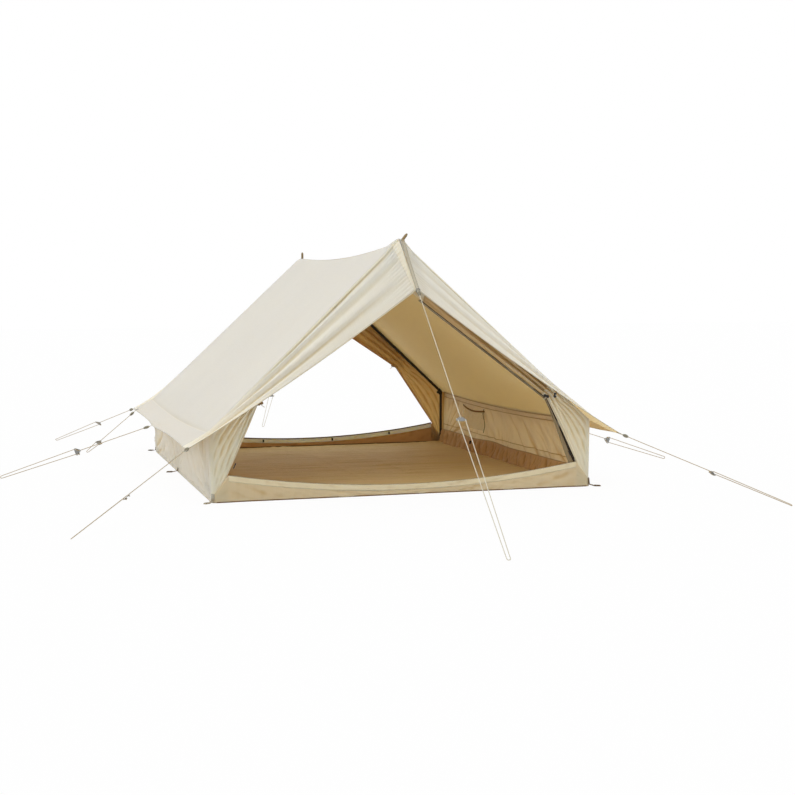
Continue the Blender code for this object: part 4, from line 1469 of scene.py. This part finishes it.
def band_point(side, rise, along):
    y = (2 * along - 1) * leg_side
    x = floor_width / 2 - 3 * canvas - 2 * seam_gap - band_lean * rise
    low = groundsheet + seam_gap
    pleat = 1.4 * creases(y, 0.1 * rise, 66, pleat_pitch, 5, side + 61)
    pleat += 0.7 * creases(y, 0.1 * rise, 104, 0.45 * pleat_pitch, 5, side + 63)
    free = math.sin(math.pi * min(1, 0.15 + 0.85 * rise)) ** 0.7
    spread = band_foot_spread * (1 - rise) ** 2 + band_pleat_depth * free * (1 + pleat)
    top = band_height + 0.012 * noise.noise(Vector((2.2 * y, side, 4)))
    return Vector((side * (x - spread), y, low + rise * (top - low)))


for word, side in sides.items():
    upstand = partial(band_point, side)
    turned_up = cloth(
        "floor_band_cloth_" + word, upstand, 12, 420, gathered_sheet, gathered_sheet,
        Vector((-side, 0, 0.3)), slot="groundsheet", replaced=["floor_band_" + word],
    )
    line = [upstand(1, step / 120) for step in range(121)]
    corded = tube("floor_band_seam_" + word, line, seam_cord_radius, inside_cord, "groundsheet", 8)
    declare(turned_up, upstand, "gathered", ["wall_canvas_" + word], [corded], 200)

# Seams inside the walls
# Where roof and wall meet, the seam allowance is sewn down inside in a strip with a corded edge. A
# third cord runs along the foot of the wall, a little above the gathered band.
seam_allowance = 0.032
foot_allowance = 0.142
cord_radius = 0.0026
cord_inset = 0.0055
seam_rises = (0.995, 1 - seam_allowance / eave_height, foot_allowance / eave_height)
for word, side in sides.items():
    inset = Vector((side * cord_inset, 0, 0))
    for number, share in enumerate(seam_rises):
        line = [walls[word](share, 0.004 + 0.992 * step / 160) - inset for step in range(161)]
        tube("eave_cord_%s_%d" % (word, number + 1), line, cord_radius, inside_cord, "canvas", 8)

# Wall pocket
# A flat pouch of thin cotton, sewn by three sides to the inside of the right wall and sagging open
# at the top, with a tape at its front corner.
pocket_front = 0.407
pocket_back = 0.871
pocket_top = 0.310
pocket_bottom = 0.165
pocket_bulge = 0.016
pocket_droop = 0.018
tape_drop = 0.17
tape_width = 0.008
cotton = woven("thin cotton of the pocket", "#FFE6BC", others={"Alpha": 0.12})
pocket_seam = woven("pocket hem", "#8A6234", stitched=0.012)


def pocket_point(along, rise):
    y = pocket_front + along * (pocket_back - pocket_front)
    wall_side = floor_width / 2 - canvas - 2 * seam_gap - canvas / 2
    swell = math.sin(math.pi * along) ** 0.6 if 0 < along < 1 else 0.0
    bulge = pocket_bulge * swell * math.sin(math.pi * (0.08 + 0.62 * rise))
    droop = pocket_droop * (math.sin(math.pi * along) - along) * rise
    slack = 0.004 * swell * creases(y, rise * 0.145, 60, 0.03, 4, 51)
    z = pocket_bottom + rise * (pocket_top - pocket_bottom) - droop
    return Vector((wall_side - bulge - slack, y, z))


inward = Vector((-1, 0, 0))
solids = ["wall_pocket"]
name = "pocket_canvas"
pouch = cloth(name, pocket_point, 60, 30, cotton, cotton, inward, slot="tan_canvas", replaced=solids)
mouth = part_of(pocket_point, (0, 1), (0.92, 1))
pouch_hem = cloth("pocket_hem", mouth, 60, 2, pocket_seam, pocket_seam, inward, seam_thickness, "tan_canvas")
hanging = [Vector((-0.004, 0.020 * math.sin(0.9 * step), 0.012 - tape_drop * step / 8)) for step in range(9)]
path = [pocket_point(0, 1) + spot for spot in hanging]
band("pocket_tape", path, Vector((0, 1, 0)), tape_width, strap_thickness, zip_tape)
declare(pouch, pocket_point, "hung", ["wall_canvas_right"], [pouch_hem])

# Fasteners
# Plastic toggles in loops of cord hold the gathered doors, black at the front right and brown at the
# other three; smaller ones are sewn along the rear sill and the floor. Loops of webbing take the pegs.
hood_toggle_share = 0.56
loop_cord_radius = 0.0018
loop_reach = 0.072
wall_loop_rise = 0.03
corner_loop_rise = 0.05
brown_plastic = hard_finish("moulded brown plastic", "#86693F", 0.45, 0.004, 0.2)[0]


def toggle(name, middle, direction, finish, length, radius):
    """A barrel toggle, waisted in the middle where its cord goes round it."""
    run = direction.normalized()
    spots = [middle + run * length * (step / 16 - 0.5) for step in range(17)]
    radii = []
    for share in (abs(step / 8 - 1) for step in range(17)):
        barrel = math.sqrt(max(0.03, 1 - share**6))
        radii.append(radius * barrel * (0.72 + 0.28 * min(1, 3 * share)))
    tube(name, spots, radii, finish, "fastener", 14)


def cord_loop(name, points):
    """A short loop of cord through the points, drawn smooth."""
    line = []
    stops = [points[0]] + points + [points[-1]]
    for before, first, second, after in zip(stops, stops[1:], stops[2:], stops[3:]):
        for t in (step / 8 for step in range(8)):
            bend = (2 * before - 5 * first + 4 * second - after) * t**2
            twist = (3 * first - before - 3 * second + after) * t**3
            line.append(0.5 * (2 * first + (second - before) * t + bend + twist))
    tube(name, line + [points[-1]], loop_cord_radius, cream_cord, "rope", 8)


def peg_loop(place, root, outward, rise, finish):
    """A strip of webbing from the foot of the cloth out to a peg and folded back on itself."""
    out = outward.normalized()
    path = [
        root + up * rise,
        root + up * 0.012 + out * 0.004,
        root + out * loop_reach * 0.6 + up * 0.004,
        root + out * loop_reach + up * 0.005,
        root + out * (loop_reach - 0.004) + up * 0.009,
        root + out * loop_reach * 0.5 + up * 0.009,
    ]
    across = out.cross(up).normalized()
    band("peg_loop_" + place, path, across, webbing_width, strap_thickness * 1.6, finish)


for place, side, end in corners:
    gather_x, gather_height = gathers[end][:2]
    tie_height = gather_height + 0.012
    y = end * (end_y(tie_height) + pleat_depth)
    middle = swayed(Vector((side * (gather_x - 0.012), y, tie_height)))
    finish = black_plastic if place == "front_right" else brown_plastic
    toggle("door_toggle_" + place, middle, Vector((side * 1, end * 0.2, -0.30)), finish, 0.034, 0.0085)
    upper = middle + Vector((side * 0.060, end * 0.010, 0.030))
    if place == "front_right":
        edge = swayed(hood_point(side, end, hood_toggle_share, 1))
        upper = edge + Vector((-0.004, -0.004, -0.024))
        toggle("door_toggle_upper_" + place, upper, Vector((0.1, 0, 1)), finish, 0.030, 0.0085)
    wrap = [
        middle,
        middle + Vector((side * 0.020, end * 0.010, 0.022)),
        upper + Vector((0, end * 0.004, 0)),
        upper + Vector((side * 0.012, -end * 0.020, 0.014)),
    ]
    cord_loop("door_tie_" + place, wrap)
    tail = [
        middle,
        middle + Vector((-side * 0.010, end * 0.006, -0.012)),
        middle + Vector((-side * 0.022, end * 0.006, -0.020)),
    ]
    cord_loop("door_tie_tail_" + place, tail)

# Small toggles along the rear sill, seen from inside, and one by the right wall
for number, share in enumerate((-0.88, -0.30, 0.22, 0.66)):
    x = share * threshold_end
    middle = Vector((x, end_y(0) - 7 * canvas - seam_gap, sill_top(x) - sill_hem_width / 2))
    toggle("sill_toggle_%d" % (number + 1), middle, Vector((0, 0.2, 1)), black_plastic, 0.022, 0.007)
toggle("floor_toggle", Vector((1.055, 0.60, 0.070)), Vector((0.3, 0.2, 1)), black_plastic, 0.026, 0.008)

# A black clip ties the cloth to each rear elbow
for word in sides:
    low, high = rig.box("elbow_rear_" + word)
    middle = (low + high) / 2 + Vector((0, -0.020, 0))
    toggle("frame_clip_" + word, middle, Vector((1, 0, -0.6)), black_plastic, 0.040, 0.011)

# Peg loops at the four corners and in the middle of both walls
brown_webbing = woven("brown herringbone webbing", "#6B573A", 0.7, 0.06, stitched=webbing_width)
for side_word, side in sides.items():
    for number, peg in enumerate(wall_pegs[1:-1]):
        root = Vector((side * (floor_width / 2 + 0.003), (2 * peg - 1) * floor_depth / 2, 0))
        place = "%s_%d" % (side_word, number + 1)
        peg_loop(place, root, Vector((side, 0, 0)), wall_loop_rise, brown_webbing)
    for end_word, end in ends.items():
        root = Vector((side * (floor_width / 2 - 0.006), end * (floor_depth / 2 - 0.006), 0))
        place = end_word + "_" + side_word
        finish = webbing_cloth if place == "front_left" else brown_webbing
        peg_loop(place, root, Vector((side, end, 0)), corner_loop_rise, finish)

# A ring under the end of each hood strap, where the rope's tongue is made fast
ring_radius = 0.011
ring_wire = 0.0022
for word, end in ends.items():
    middle = swayed(strap_line(end)[1])
    circle = []
    for turn in (2 * math.pi * step / 24 for step in range(25)):
        spoke = Vector((math.cos(turn), 0, math.sin(turn)))
        circle.append(middle + ring_radius * spoke + Vector((0, end * 0.002, 0)))
    tube("strap_ring_" + word, circle, ring_wire, anodised, "aluminium", 8)

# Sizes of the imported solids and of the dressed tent, for comparison
with open("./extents.json", "w") as sizes:
    json.dump({"cad": cad_box, "visual": [list(corner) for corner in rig.bounds()]}, sizes)
